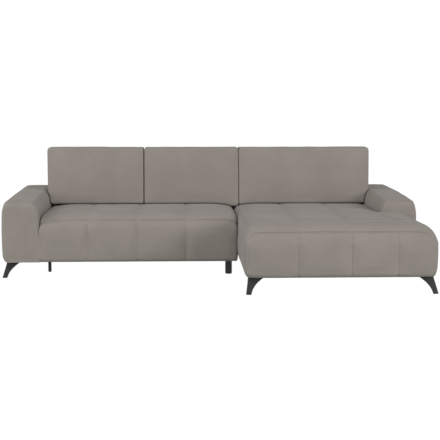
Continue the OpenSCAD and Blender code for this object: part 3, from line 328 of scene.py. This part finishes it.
def ladder_loft(name, rings, columns, bulges):
    """A closed skin through rings that run: underside, front, top, rear. The underside and the top have
    columns - 1 points each, and the front and the rear share the rest. Each end is a grid between the two."""
    m, n = rings.shape[:2]
    rows = n // 2 - columns + 1
    flat, faces = skin(rings)
    points = [flat]
    total = len(flat)
    for start, flip, bulge in ((0, False, -bulges[0]), ((m - 1) * n, True, bulges[1])):
        front = start + columns - 1 + np.arange(rows)
        rear = start + n - 1 - np.arange(rows)
        grid = np.empty((rows, columns + 1), int)
        grid[:, 0], grid[:, -1] = front, rear
        grid[0, 1:-1] = start + np.arange(columns - 2, -1, -1)
        grid[-1, 1:-1] = start + columns - 1 + rows + np.arange(columns - 1)
        for i in range(1, rows - 1):
            for k in range(1, columns):
                u = k / columns
                spot = flat[front[i]] * (1 - u) + flat[rear[i]] * u
                spot[0] += bulge * math.sin(math.pi * u) * math.sin(math.pi * i / (rows - 1)) ** 0.5
                points.append(spot[None])
                grid[i, k] = total
                total += 1
        for i in range(rows - 1):
            for k in range(columns):
                corners = grid[i, k], grid[i + 1, k], grid[i + 1, k + 1], grid[i, k + 1]
                quad = tuple(int(g) for g in corners)
                faces.append(quad if flip else quad[::-1])
    return make_mesh(name, np.vstack(points), faces)


def coords(piece):
    co = np.empty(len(piece.data.vertices) * 3)
    piece.data.vertices.foreach_get("co", co)
    return co.reshape(-1, 3)


def set_coords(piece, co):
    piece.data.vertices.foreach_set("co", np.asarray(co, float).ravel())
    piece.data.update()


def normals(piece):
    n = np.empty(len(piece.data.vertices) * 3)
    piece.data.vertices.foreach_get("normal", n)
    return n.reshape(-1, 3)


def press_in(piece, depth):
    """Moves every point of a piece in along its normal by its own depth."""
    set_coords(piece, coords(piece) - normals(piece) * np.asarray(depth)[:, None])


# Padding under its cover

def evaluated(piece):
    """The mesh of a piece with its modifiers applied."""
    graph = bpy.context.evaluated_depsgraph_get()
    return bpy.data.meshes.new_from_object(piece.evaluated_get(graph))


def cloth_copy(piece, loose, size, start_in):
    """A copy of a piece with an even mesh, pressed in a little where it is free to swell."""
    copy = bpy.data.objects.new(piece.name + "_cloth", piece.data.copy())
    bpy.context.scene.collection.objects.link(copy)
    press_in(copy, start_in * loose(coords(copy)))
    even = copy.modifiers.new("even", "REMESH")
    even.mode = "VOXEL"
    even.voxel_size = size
    copy.data = evaluated(copy)
    copy.modifiers.clear()
    return copy


def blow_up(copy, start, loose):
    """Runs the cloth on a copy whose points start at start, and gives how far each of them moved."""
    held = np.round((1 - loose(start)) * HELD_LEVELS).astype(int)
    group = copy.vertex_groups.new(name="held")
    for level in range(1, HELD_LEVELS + 1):
        group.add([int(i) for i in np.nonzero(held == level)[0]], level / HELD_LEVELS, "REPLACE")
    cloth = copy.modifiers.new("cover", "CLOTH")
    cloth.settings.quality = 4
    cloth.settings.mass = 0.3
    cloth.settings.tension_stiffness = 15
    cloth.settings.compression_stiffness = 15
    cloth.settings.shear_stiffness = 5
    cloth.settings.bending_stiffness = 0.5
    cloth.settings.use_pressure = True
    cloth.settings.uniform_pressure_force = 4
    cloth.settings.vertex_group_mass = "held"
    cloth.settings.effector_weights.gravity = 0
    cloth.collision_settings.use_collision = False
    cloth.point_cache.frame_start = 1
    cloth.point_cache.frame_end = CLOTH_FRAMES
    for number in range(1, CLOTH_FRAMES + 1):
        bpy.context.scene.frame_set(number)
    blown = evaluated(copy)
    after = np.empty(len(blown.vertices) * 3)
    blown.vertices.foreach_get("co", after)
    return after.reshape(-1, 3) - start


def swelling(piece, start, moved):
    """How far the copy moved along the normal of the piece, at each point of the piece."""
    tree = KDTree(len(start))
    for i, place in enumerate(start):
        tree.insert(place, i)
    tree.balance()
    shape, ways = coords(piece), normals(piece)
    swell = np.zeros(len(shape))
    for i, place in enumerate(shape):
        found = tree.find_n(place, NEAR_POINTS)
        weights = np.array([1 / (d + NEAR_BLUR) ** 2 for _, _, d in found])
        swell[i] = weights @ (moved[[k for _, k, _ in found]] @ ways[i]) / weights.sum()
    return swell


def settle(piece, loose, size=0.014, start_in=0.003, cap=0.008):
    """Blows up a cloth copy of a piece between the places where it is sewn or held, and swells the piece with it,
    by no more than the cap. size is that of the copy's mesh. loose gives, for points, 1 where the cover is free
    and 0 where it is held."""
    copy = cloth_copy(piece, loose, size, start_in)
    start = coords(copy)
    swell = swelling(piece, start, blow_up(copy, start, loose))
    press_in(piece, -cap * np.tanh(np.maximum(swell, 0) / cap) * loose(coords(piece)))
    bpy.data.objects.remove(copy)
    bpy.context.scene.frame_set(1)


# Seats

SEAM_ANGLE = math.asin((SEAM_H - ROUND_H) / (CROWN - ROUND_H))
FRONT_ANGLES = spaced(math.radians(5), math.radians(86), math.radians(5), [SEAM_ANGLE], fine=math.radians(0.55))
SEAT_CAP = (0.004, 0.012, 0.03, 0.06, 0.09, 0.12)


def joint_fall(t):
    """Fall of a seat's top at distance t from the joint between the modules."""
    return fall(t, *JOINT_SWEEP) + fall(t, *JOINT_ROLL)


def sofa_top(x):
    """Top of the two-seat module's seat at x."""
    l, r = x - SEAT_LO[0], SEAT_HI[0] - x
    return CROWN - fall(l, *LEFT_SWEEP) - fall(l, *LEFT_ROLL) - joint_fall(r)


def chaise_top(x):
    """Top of the chaise at x, in front of its arm."""
    l, r = x - CHAISE_LO[0], CHAISE_HI[0] - x
    return CROWN - joint_fall(l) - fall(r, *RIGHT_SWEEP) - fall(r, *RIGHT_ROLL)


def seam_height(top):
    """Height of the sewn line along the front, where the seat's top is at the height top."""
    return ROUND_H + (top - ROUND_H) * math.sin(SEAM_ANGLE)


def seat_profile(x, y0, y1, zt, low, front, tops, beside=0.0):
    """Ring of a seat in the plane x, from the rear underside round the front to the rear. zt is the height of its
    top and beside its fall beside the arm, and low and front are how far a corner draws it up and back."""
    yf, zb = y0 + front, FLOOR_GAP + low
    out = [(y1, zb + LIFT), (yf + LOW_R + 0.006, zb + LIFT)]
    for a in quarter(7):
        out.append((yf + LOW_R * (1 - math.sin(a)), zb + LOW_R * (1 - math.cos(a))))
    start = zb + LOW_R
    for u in np.linspace(0, 1, 15)[1:]:
        out.append((yf, start + (ROUND_H - start) * u))
    for a in FRONT_ANGLES:
        out.append((yf + ROUND_D * (1 - math.cos(a)), ROUND_H + (zt - ROUND_H) * math.sin(a)))
    for i, t in enumerate(tops):
        y = min(t, y1 - 0.012 - 0.0001 * (len(tops) - i))
        out.append((y, zt - beside * ease(Y_SOFA, Y_SOFA + BESIDE_RUN, y)))
    end = zt - beside
    for a in quarter(6):
        out.append((y1 - SEAT_REAR_R * (1 - math.sin(a)), end - SEAT_REAR_R * (1 - math.cos(a))))
    out += [(y1, end - 0.05), (y1, (end + zb) / 2)]
    return np.array([(x, y, z) for y, z in out])


def seat_free(p, y0, above):
    """How free a seat's cover is of its underside, of its front seam and of the backs. above is the height over
    the seam's own height."""
    at_seam = (1 - ease(0.002, 0.025, np.abs(above))) * (1 - ease(y0 + 0.06, y0 + 0.09, p[:, 1]))
    off_floor = ease(FLOOR_GAP + LOW_HOLD[0], FLOOR_GAP + LOW_HOLD[1], p[:, 2])
    return off_floor * (1 - ease(Y_BACKS - 0.08, Y_BACKS - 0.02, p[:, 1])) * (1 - at_seam)


def seat_unevenness(p, seed):
    """Soft unevenness of a seat, in broad waves and in short ones."""
    return (ripple(p, seed, 0.5, 0.0018) + ripple(p, seed + 1, 0.16, 0.0007)) * (p[:, 2] > FLOOR_GAP + SOLE)


def sofa_seat():
    x0, x1 = SEAT_LO[0], SEAT_HI[0]
    tops = spaced(Y_SOFA + ROUND_D, SEAT_HI[1] - 0.02, TOP_STEP)
    rings = []
    for x in spaced(x0, x1, RING_STEP, SOFA_SEAMS, ends=True):
        low, front = fall(x1 - x, *SOFA_CORNER_LOW), fall(x1 - x, *SOFA_CORNER_FRONT)
        rings.append(seat_profile(x, Y_SOFA, SEAT_HI[1], sofa_top(x), low, front, tops))
    piece = loft("sofa_seat", np.array(rings), 0, SEAT_CAP)

    def loose(p):
        return (seat_free(p, Y_SOFA, p[:, 2] - seam_height(sofa_top(p[:, 0])))
                * ease(*SEAM_HOLD, nearest(p[:, 0], SOFA_SEAMS))
                * ease(*EDGE_HOLD, p[:, 0] - x0) * ease(*EDGE_HOLD, x1 - p[:, 0]))

    settle(piece, loose)
    sew_sofa_seat(piece)
    return piece


def sew_sofa_seat(piece):
    """Presses in the lines across the seat, the lapped seam along its front, and their folds."""
    p = coords(piece)
    front = (p[:, 1] < Y_SOFA + 0.10) & (p[:, 2] > ROUND_H)
    body = p[:, 2] > FLOOR_GAP + FLAT
    across = nearest(p[:, 0], SOFA_SEAMS)
    above = p[:, 2] - seam_height(sofa_top(p[:, 0])) - SOFA_SEAM_UP
    bow = 0.0025 * np.sin((p[:, 0] - SEAT_HI[0]) / SOFA_CHANNEL * math.pi) ** 2
    lines = stitch(across) * body * (1 - 0.35 * ease(0.0, 0.02, above))
    cross = np.where(front, stitch(above + bow, FRONT_DRAW, 0.0) + lap(above + bow, SOFA_LAP), 0)
    folds = (pucker(p[:, 1] + p[:, 2], across, 31) * body
             + np.where(front, pucker(p[:, 0], above, 32, 0.0008), 0))
    both = np.maximum(lines, cross) + 0.35 * np.minimum(lines, cross)
    press_in(piece, both + seat_unevenness(p, 3) + folds)


def chaise_seat():
    x0, x1, y0 = CHAISE_LO[0], CHAISE_HI[0], CHAISE_LO[1]
    xs = np.concatenate([
        spaced(x0, ARM_X, RING_STEP, CHAISE_SEAMS + PANEL_X[:1], ends=True),
        spaced(ARM_X + 0.0005, x1, RING_STEP, PANEL_X[1:], ends=True)])
    tops = spaced(y0 + ROUND_D, SEAT_HI[1] - 0.02, TOP_STEP, CROSS_SEAMS)
    rings = []
    for x in xs:
        l, r = x - x0, x1 - x
        low = fall(l, LOW_W, LOW_H) + fall(r, LOW_W, LOW_H)
        front = fall(l, *CHAISE_CORNER_LEFT) + fall(r, *CHAISE_CORNER_RIGHT)
        y1, beside = SEAT_HI[1], float(fall(ARM_X - x, *BESIDE_ARM))
        if x > ARM_X:
            y1, beside = Y_SOFA - 0.0003, 0.0
        rings.append(seat_profile(x, y0, y1, chaise_top(x), low, front, tops, beside))
    piece = loft("chaise_seat", np.array(rings), 0, SEAT_CAP)

    def loose(p):
        above = p[:, 2] - seam_height(chaise_top(p[:, 0]))
        behind = ease(Y_SOFA - 0.12, Y_SOFA - 0.03, p[:, 1])
        held = (1 - ease(*SEAM_HOLD, nearest(p[:, 1], CROSS_SEAMS))) * ease(0.0, 0.02, above)
        return (seat_free(p, y0, above) * ease(*SEAM_HOLD, nearest(p[:, 0], CHAISE_SEAMS)) * (1 - held)
                * (1 - behind * (1 - ease(*EDGE_HOLD, p[:, 0] - x0) * ease(0.0, 0.05, ARM_X - p[:, 0]))))

    settle(piece, loose, 0.016)
    sew_chaise_seat(piece)
    return piece


def panel_line(p):
    """Distance from the sewn line round the front panel of the chaise, along its top and down both sides."""
    mid, half_w = sum(PANEL_X) / 2, (PANEL_X[1] - PANEL_X[0]) / 2
    qx = np.abs(p[:, 0] - mid) - (half_w - PANEL_R)
    qz = (p[:, 2] - seam_height(chaise_top(p[:, 0]))) + PANEL_R
    inside = np.minimum(np.maximum(qx, qz), 0)
    return np.hypot(np.maximum(qx, 0), np.maximum(qz, 0)) + inside - PANEL_R


def sew_chaise_seat(piece):
    """Presses in the lines along and across the chaise, the lapped seam round its front panel, and their folds."""
    p = coords(piece)
    near = p[:, 1] < CHAISE_LO[1] + 0.09
    front = near & (p[:, 2] < SEAM_H + 0.02)
    body = p[:, 2] > FLOOR_GAP + FLAT
    across, along = nearest(p[:, 0], CHAISE_SEAMS), nearest(p[:, 1], CROSS_SEAMS)
    above = p[:, 2] - seam_height(chaise_top(p[:, 0]))
    on_top = ease(0.004, 0.02, above)
    lines = stitch(across) * body * (1 - 0.45 * on_top)
    cross = on_top * stitch(along, 0.0022, 0.0012)
    edge = panel_line(p)
    lap_depth = CHAISE_LAP_LOW + CHAISE_LAP_RISE * ease(-0.05, -0.01, above)
    rim = np.where(front, stitch(edge, FRONT_DRAW, 0.0) + lap(edge, lap_depth), 0)
    folds = (pucker(p[:, 1] + p[:, 2], across, 41) * body
             + np.where(near, pucker(p[:, 0], above, 42, 0.0008), 0)
             + on_top * pucker(p[:, 0], along, 43))
    deepest = np.maximum(np.maximum(lines, cross), rim)
    crossings = 0.3 * (np.minimum(lines, cross) + np.minimum(lines, rim))
    press_in(piece, deepest + crossings + seat_unevenness(p, 5) + folds)


# Arms

def arm_profile(y, zt, x_in, x_out, side):
    """Ring of an arm in the plane y. x_in is its inner side below and above the step, x_out its outer side, and
    side is 1 for the left arm and -1 for the right one."""
    out = [(x_in[0], FLOOR_GAP + LIFT)]
    for z in np.linspace(FLOOR_GAP + FLAT, ARM_STEP_TOP, 22):
        out.append((x_in[0] + (x_in[1] - x_in[0]) * ease(*ARM_STEP, z), z))
    for a in quarter(14):
        out.append((x_in[1] - ARM_IN[0] * (1 - math.cos(a)), zt - ARM_CROWN - ARM_IN[1] * (1 - math.sin(a))))
    flat = np.linspace(x_in[1] - ARM_IN[0], x_out + ARM_OUT[0], 8)
    for x in flat[1:-1]:
        u = (x - flat[0]) / (flat[-1] - flat[0])
        out.append((x, zt - ARM_CROWN + ARM_CROWN * math.sin(math.pi * u)))
    for a in quarter(14)[::-1]:
        out.append((x_out + ARM_OUT[0] * (1 - math.cos(a)), zt - ARM_CROWN - ARM_OUT[1] * (1 - math.sin(a))))
    high, low = zt - ARM_CROWN - ARM_OUT[1], FLOOR_GAP + LOW_H
    for z in np.linspace(high, low, 16)[1:-1]:
        out.append((x_out - ARM_BOW * math.sin(math.pi * (z - low) / (high - low)), z))
    for a in quarter(9):
        out.append((x_out + LOW_W * (1 - math.cos(a)), low - LOW_H * math.sin(a)))
    out.append((x_out + LOW_W + 0.003, FLOOR_GAP + LIFT))
    return np.array([(side * x, y, z) for x, z in out])


def arm(name, side):
    """An arm, which rises to the rear. side is 1 for the left arm and -1 for the right one."""
    x_in, x_out = ARM_HI[0], ARM_LO[0] + ARM_BOW
    y0, y1 = ARM_LO[1], ARM_HI[1]
    rings = []
    for y in spaced(y0, y1, 0.03, ends=True):
        f, r = y - y0, y1 - y
        rise = (ARM_REAR_H - ARM_FRONT_H) * (r / (y1 - y0)) ** ARM_RISE_POWER
        top = ARM_REAR_H - rise - fall(f, *ARM_TOP_FALLS[0]) - fall(r, *ARM_TOP_FALLS[1])
        upper = x_in - fall(f, *ARM_INNER_FALLS[0]) - fall(r, *ARM_INNER_FALLS[1])
        outer = x_out + fall(f, *ARM_OUTER_FALLS[0]) + fall(r, *ARM_OUTER_FALLS[1])
        rings.append(arm_profile(y, top, (x_in, upper), outer, side))
    piece = loft(name, np.array(rings), 1, ARM_CAP)

    def loose(p):
        inner = x_in - side * p[:, 0]
        beside = ease(Y_BACKS - 0.12, Y_BACKS - 0.04, p[:, 1])
        off_floor = ease(FLOOR_GAP + LOW_HOLD[0], FLOOR_GAP + LOW_HOLD[1], p[:, 2])
        return ease(0.02, 0.07, inner) * off_floor * (1 - beside * (1 - ease(0.05, 0.10, inner)))

    settle(piece, loose, cap=0.003)
    p = coords(piece)
    free = ease(0, 0.02, x_in - side * p[:, 0]) * (p[:, 2] > FLOOR_GAP + SOLE)
    press_in(piece, (ripple(p, 11 + side, 0.45, 0.0015) + ripple(p, 14 + side, 0.14, 0.0006)) * free)
    return piece


# Rear panels and backs

def rear_panel(name, node):
    """A low padded panel behind the decks, rounded along its top."""
    lo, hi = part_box(node)
    thick = hi[1] - lo[1]
    rings = []
    for x in spaced(lo[0], hi[0], 0.05, ends=True, fine=0.003):
        e = float(fall(min(x - lo[0], hi[0] - x), 0.010, 0.008))
        out = [(lo[1], lo[2])]
        for a in quarter(5):
            out.append((hi[1] - e - REAR_LOW_R * (1 - math.sin(a)), lo[2] + e + REAR_LOW_R * (1 - math.cos(a))))
        for z in np.linspace(lo[2] + REAR_LOW_R, hi[2] - REAR_TOP_R, 8)[1:-1]:
            out.append((hi[1] - e, z))
        for a in np.linspace(0, math.pi, 13):
            out.append(((lo[1] + hi[1]) / 2 + (thick / 2 - e / 2) * math.cos(a),
                        hi[2] - e - REAR_TOP_R * (1 - math.sin(a))))
        rings.append([(x, y, z) for y, z in out])
    piece = loft(name, np.array(rings), 0, (0.004, 0.010))
    press_in(piece, ripple(coords(piece), 21, 0.4, 0.0008) + 0.0008)
    return piece


def arm_reach(z):
    """How far the side of a back may reach over an arm at the height z, clear of the arm's rounding."""
    s = np.clip(1 - (ARM_REAR_H - ARM_CROWN - z) / ARM_IN[1], 0, 1)
    return ARM_IN[0] * (1 - np.sqrt(1 - s * s)) - ARM_CLEARANCE


def back_ring(x, spans, overs):
    """Ring of a back in the plane x: underside, front, top, rear. spans are the back's spans along x, y and z."""
    (x0, x1), (y_foot, y_end), (z0, z1) = spans
    h = z1 - z0
    e = float(fall(min(x - x0, x1 - x), *BACK_SIDE_ROUND))
    across = (2 * x - x0 - x1) / (x1 - x0)
    over = overs[0] if across < 0 else overs[1]
    crown = BACK_CROWN * (1 - across ** 4)
    bow = BACK_REAR_BOW * (1 - across * across)
    droop = min(DROOP_SHARE * float(joint_fall(abs(x - SEAT_HI[0]))), DROOP_MOST)
    zb, zt, yr = z0 + e / 2, z1 - e, y_end - e / 2

    def front(z):
        u = (z - z0) / h
        return y_foot + e / 2 + BACK_LEAN * u - crown * math.sin(math.pi * u)

    foot = [(BACK_LOW_R * (1 - math.sin(a)), zb + BACK_LOW_R * (1 - math.cos(a))) for a in quarter(12)[::2]]
    head = [(BACK_TOP_R * (1 - math.cos(a)), zt - BACK_TOP_R * (1 - math.sin(a))) for a in quarter(12)]
    flat = [(0.0, z) for z in np.linspace(zb + BACK_LOW_R, zt - BACK_TOP_R, 26)[1:-1]]
    rising = foot + flat + head
    ahead = [(front(min(z, zt - BACK_TOP_R)) + d, z) for d, z in rising]
    behind = [(yr + bow * math.sin(math.pi * (z - z0) / h) - d, z) for d, z in rising]
    under = [(y, zb) for y in np.linspace(behind[0][0], ahead[0][0], BACK_COLUMNS + 1)[1:-1]]
    above = [(y, zt + BACK_TOP_BOW * math.sin(math.pi * k / BACK_COLUMNS))
             for k, y in enumerate(np.linspace(ahead[-1][0], behind[-1][0], BACK_COLUMNS + 1))][1:-1]
    ring = []
    for y, z in under + ahead + above + behind[::-1]:
        lean = BACK_SIDE_LEAN * max(0.0, z1 - z) / h
        draw = max(lean, over - float(arm_reach(z))) if over else 0.0
        down = droop * float(1 - ease(z0, z0 + DROOP_FADE, z))
        ring.append((x - math.copysign(draw, across) * across * across, y, z - down))
    return ring


def back_block(name, node, overs, seed, grown=(0, 0)):
    """A back. overs is how far its left and right sides reach over an arm, or 0 beside another back, and grown is
    how much fuller its sides are than the frame's."""
    lo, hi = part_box(node)
    x0, x1 = lo[0] - grown[0], hi[0] + grown[1]
    z0, z1 = lo[2], hi[2] - BACK_TOP_IN
    y_foot, y_end = hi[1] - BACK_DEPTH, hi[1] - BACK_REAR_IN
    spans = (x0, x1), (y_foot, y_end), (z0, z1)
    xs = spaced(x0, x1, 0.016, [x0 + BACK_BORDER, x1 - BACK_BORDER], ends=True, fine=0.0018)
    rings = np.array([back_ring(x, spans, overs) for x in xs])
    piece = ladder_loft(name, rings, BACK_COLUMNS, [0.003 if over else 0.0012 for over in overs])

    def loose(p):
        return (ease(z0 + 0.01, z0 + 0.06, p[:, 2]) * ease(0.006, 0.05, p[:, 0] - x0)
                * ease(0.006, 0.05, x1 - p[:, 0]) * ease(0.0, 0.03, z1 + 0.004 - p[:, 2]))

    settle(piece, loose, cap=0.005)
    p = coords(piece)
    in_front = p[:, 1] < (y_foot + y_end) / 2 + 0.02
    side = np.minimum(p[:, 0] - x0, x1 - p[:, 0]) - BACK_BORDER
    top = z1 - 0.011 - p[:, 2]
    border = np.abs(np.minimum(side, top))
    line = np.where(in_front & (p[:, 2] > z0 + 0.015), stitch(border, 0.0, 0.0022), 0)
    body = ease(z0 + 0.004, z0 + 0.03, p[:, 2]) * ease(0.0, 0.02, side + BACK_BORDER)
    soft = (ripple(p, seed, 0.55, 0.0020) + ripple(p, seed + 50, 0.17, 0.0007)) * body
    press_in(piece, line + soft)
    return piece


# Materials

def node_graph(material):
    """Nodes, links and shader of a new material."""
    material.use_nodes = True
    tree = material.node_tree
    return tree.nodes, tree.links, tree.nodes["Principled BSDF"]


def add(nodes, kind, **values):
    """A new node with values for its inputs or, where it has no such input, for its settings."""
    n = nodes.new(kind)
    for key, value in values.items():
        if key in n.inputs:
            n.inputs[key].default_value = value
        else:
            setattr(n, key, value)
    return n


def combine(nodes, links, operation, a, b):
    """Output of a math node on the socket a and on b, a socket or a number."""
    n = add(nodes, "ShaderNodeMath", operation=operation)
    links.new(a, n.inputs[0])
    if isinstance(b, float):
        n.inputs[1].default_value = b
    else:
        links.new(b, n.inputs[1])
    return n.outputs[0]


def mottled(name, dark, light, scale, roughness, bump_scale, bump, metallic=0.0, stretch=(1, 1, 1), sheen=0.0):
    """A surface of two close colours in soft patches, with a fine relief."""
    material = bpy.data.materials.new(name)
    nodes, links, shader = node_graph(material)
    place = add(nodes, "ShaderNodeTexCoord")
    turn = add(nodes, "ShaderNodeMapping")
    turn.inputs["Scale"].default_value = stretch
    patches = add(nodes, "ShaderNodeTexNoise", Scale=scale, Detail=4.0, Roughness=0.6)
    ramp = add(nodes, "ShaderNodeValToRGB")
    for stop, position, colour in zip(ramp.color_ramp.elements, (0.325, 0.675), (dark, light)):
        stop.position = position
        stop.color = (*colour, 1)
    grain = add(nodes, "ShaderNodeTexNoise", Scale=bump_scale, Detail=2.0)
    relief = add(nodes, "ShaderNodeBump", Strength=bump, Distance=0.001)
    links.new(place.outputs["Object"], turn.inputs["Vector"])
    links.new(turn.outputs["Vector"], patches.inputs["Vector"])
    links.new(turn.outputs["Vector"], grain.inputs["Vector"])
    links.new(patches.outputs["Fac"], ramp.inputs["Fac"])
    links.new(ramp.outputs["Color"], shader.inputs["Base Color"])
    links.new(grain.outputs["Fac"], relief.inputs["Height"])
    links.new(relief.outputs["Normal"], shader.inputs["Normal"])
    shader.inputs["Roughness"].default_value = roughness
    shader.inputs["Metallic"].default_value = metallic
    if sheen:
        shader.inputs["Sheen Weight"].default_value = sheen
        shader.inputs["Sheen Roughness"].default_value = 0.5
    return material


def upholstery():
    """Close-woven taupe fabric: soft patches of tone, and a fine weave as relief and colour."""
    material = mottled("upholstery", (0.233, 0.2075, 0.1845), (0.259, 0.231, 0.2055), 5.0, 0.82, 900.0, 0.25,
                       sheen=0.12)
    nodes, links, shader = node_graph(material)
    place = nodes["Texture Coordinate"]
    waves = []
    for way in "XYZ":
        wave = add(nodes, "ShaderNodeTexWave", Scale=115.0, Distortion=2.5, Detail=1.0, bands_direction=way)
        links.new(place.outputs["Object"], wave.inputs["Vector"])
        waves.append(wave.outputs["Fac"])
    height = combine(nodes, links, "ADD", combine(nodes, links, "ADD", waves[0], waves[1]), waves[2])
    relief = add(nodes, "ShaderNodeBump", Strength=0.12, Distance=0.0006)
    links.new(height, relief.inputs["Height"])
    links.new(nodes["Bump"].outputs["Normal"], relief.inputs["Normal"])
    links.new(relief.outputs["Normal"], shader.inputs["Normal"])
    tone = add(nodes, "ShaderNodeMapRange")
    tone.inputs["From Max"].default_value = 3.0
    tone.inputs["To Min"].default_value = 0.94
    tone.inputs["To Max"].default_value = 1.05
    links.new(height, tone.inputs["Value"])
    thread = add(nodes, "ShaderNodeMix", data_type="RGBA", blend_type="MULTIPLY")
    thread.inputs["Factor"].default_value = 1.0
    links.new(nodes["Color Ramp"].outputs["Color"], thread.inputs["A"])
    links.new(tone.outputs["Result"], thread.inputs["B"])
    links.new(thread.outputs["Result"], shader.inputs["Base Color"])
    return material


# Looks of the plain slots: dark and light colour, scale of the patches, roughness, scale and strength of the
# relief, and for some their metallic share and the stretch of the pattern
LOOKS = {
    "foam": ((0.74, 0.68, 0.48), (0.84, 0.79, 0.60), 40, 0.95, 600, 0.6),
    "spring_wire": ((0.30, 0.30, 0.32), (0.45, 0.45, 0.47), 60, 0.35, 300, 0.05, 1.0),
    "deck_board": ((0.012, 0.012, 0.012), (0.024, 0.023, 0.022), 30, 0.9, 700, 0.5),
    "lining": ((0.010, 0.010, 0.010), (0.022, 0.021, 0.021), 60, 0.95, 900, 0.6),
    "timber": ((0.50, 0.33, 0.17), (0.66, 0.47, 0.28), 9, 0.7, 120, 0.3, 0.0, (1, 12, 12)),
    "black_steel": ((0.011, 0.011, 0.0115), (0.016, 0.016, 0.0165), 40, 0.62, 800, 0.15),
    "black_plastic": ((0.018, 0.018, 0.019), (0.026, 0.026, 0.027), 50, 0.55, 700, 0.2),
    "nylon": ((0.68, 0.68, 0.65), (0.76, 0.76, 0.73), 40, 0.5, 500, 0.1),
    "zinc_steel": ((0.46, 0.47, 0.49), (0.58, 0.59, 0.61), 90, 0.38, 400, 0.08, 1.0),
}


def all_materials():
    """The material of every slot in the record, by the slot's name."""
    made = {"upholstery": upholstery()}
    for slot, look in LOOKS.items():
        made[slot] = mottled(slot, *look)
    return made


# Pieces

def dress_nodes():
    """Gives each solid of the frame the material of its slot."""
    slots = {s["node"]: s["material_slot"] for s in frame["record"]["subparts"]}
    for name, piece in frame["nodes"].items():
        piece.data.materials.clear()
        piece.data.materials.append(materials[slots[name]])


def soft_piece(piece, body, fill, *nodes):
    piece.data.materials.append(materials["upholstery"])
    piece.data.materials.append(materials["lining"])
    for poly in piece.data.polygons:
        flat_under = poly.normal.z < -0.9 and poly.center.z < FLOOR_GAP + FLAT
        poly.material_index = 1 if flat_under else 0
    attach(piece, body)
    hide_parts(*nodes)
    return piece


materials = all_materials()
dress_nodes()
soft_piece(sofa_seat(), "sofa", 0.9, "sofa_seat_cover", "sofa_seat_foam")
soft_piece(chaise_seat(), "sofa", 0.9, "chaise_seat_cover", "chaise_seat_foam")
soft_piece(arm("left_arm", 1), "sofa", 0.95, "sofa_arm_cover")
soft_piece(arm("right_arm", -1), "sofa", 0.95, "chaise_arm_cover")
soft_piece(rear_panel("sofa_rear", "sofa_rear_panel"), "sofa", 0.9, "sofa_rear_panel")
soft_piece(rear_panel("chaise_rear", "chaise_rear_panel"), "sofa", 0.9, "chaise_rear_panel")
soft_piece(back_block("left_back", "back_left_cushion", (0.023, 0), 61), "back_left", 0.85, "back_left_cushion")
soft_piece(back_block("middle_back", "back_middle_cushion", (0, 0), 62, (0, 0.0015)), "back_middle", 0.85,
           "back_middle_cushion")
soft_piece(back_block("right_back", "back_right_cushion", (0, 0.037), 63, (0.0015, 0)), "back_right", 0.85,
           "back_right_cushion")


# Studio

def studio_floor():
    """A white floor that keeps a pale shadow. Its glow is for the camera only, and lights nothing."""
    bpy.ops.mesh.primitive_plane_add(size=60, location=(0, 0, 0))
    floor = bpy.context.object
    floor.name = "studio_floor"
    material = bpy.data.materials.new("studio_floor")
    nodes, links, shader = node_graph(material)
    shader.inputs["Base Color"].default_value = (FLOOR_TONE, FLOOR_TONE, FLOOR_TONE, 1)
    shader.inputs["Roughness"].default_value = 0.9
    glow = add(nodes, "ShaderNodeEmission", Strength=FLOOR_GLOW)
    glow.inputs["Color"].default_value = (1, 1, 1, 1)
    path = add(nodes, "ShaderNodeLightPath").outputs
    seen = combine(nodes, links, "MAXIMUM", path["Is Camera Ray"], path["Is Glossy Ray"])
    seen = combine(nodes, links, "MAXIMUM", seen, path["Is Transmission Ray"])
    mix = add(nodes, "ShaderNodeMixShader")
    links.new(combine(nodes, links, "MULTIPLY", seen, FLOOR_GLOW_SHARE), mix.inputs["Fac"])
    links.new(shader.outputs["BSDF"], mix.inputs[1])
    links.new(glow.outputs["Emission"], mix.inputs[2])
    links.new(mix.outputs["Shader"], nodes["Material Output"].inputs["Surface"])
    floor.data.materials.append(material)


def studio_world():
    """A soft white light from all round, and pure white where the camera sees past the floor."""
    world = bpy.data.worlds.new("studio")
    bpy.context.scene.world = world
    world.use_nodes = True
    nodes, links = world.node_tree.nodes, world.node_tree.links
    soft = nodes["Background"]
    soft.inputs["Color"].default_value = (1, 1, 1, 1)
    soft.inputs["Strength"].default_value = WORLD_LIGHT
    backdrop = add(nodes, "ShaderNodeBackground", Strength=1.0)
    backdrop.inputs["Color"].default_value = (1, 1, 1, 1)
    path = add(nodes, "ShaderNodeLightPath").outputs
    seen = combine(nodes, links, "MAXIMUM", path["Is Camera Ray"], path["Is Transmission Ray"])
    mix = add(nodes, "ShaderNodeMixShader")
    links.new(seen, mix.inputs["Fac"])
    links.new(soft.outputs["Background"], mix.inputs[1])
    links.new(backdrop.outputs["Background"], mix.inputs[2])
    links.new(mix.outputs["Shader"], nodes["World Output"].inputs["Surface"])


def lamp(name, place, size, power):
    data = bpy.data.lights.new(name, "AREA")
    data.shape = "RECTANGLE"
    data.size, data.size_y = size
    data.energy = power
    piece = bpy.data.objects.new(name, data)
    bpy.context.scene.collection.objects.link(piece)
    piece.location = place
    piece.rotation_euler = (Vector(LAMP_AIM) - Vector(place)).to_track_quat("-Z", "Y").to_euler()


def studio_lamps():
    for name, place, size, power in LAMPS:
        lamp(name, place, size, power)


def photo_camera():
    data = bpy.data.cameras.new("photo")
    data.lens = CAMERA_LENS
    data.sensor_width = CAMERA_SENSOR
    piece = bpy.data.objects.new("photo", data)
    bpy.context.scene.collection.objects.link(piece)
    piece.location = CAMERA_PLACE
    piece.rotation_euler = Euler((math.radians(90 - CAMERA_DIP), 0, math.radians(-CAMERA_TURN)))
    bpy.context.scene.camera = piece


studio_floor()
studio_world()
studio_lamps()
photo_camera()
bpy.context.scene.view_settings.view_transform = "Standard"
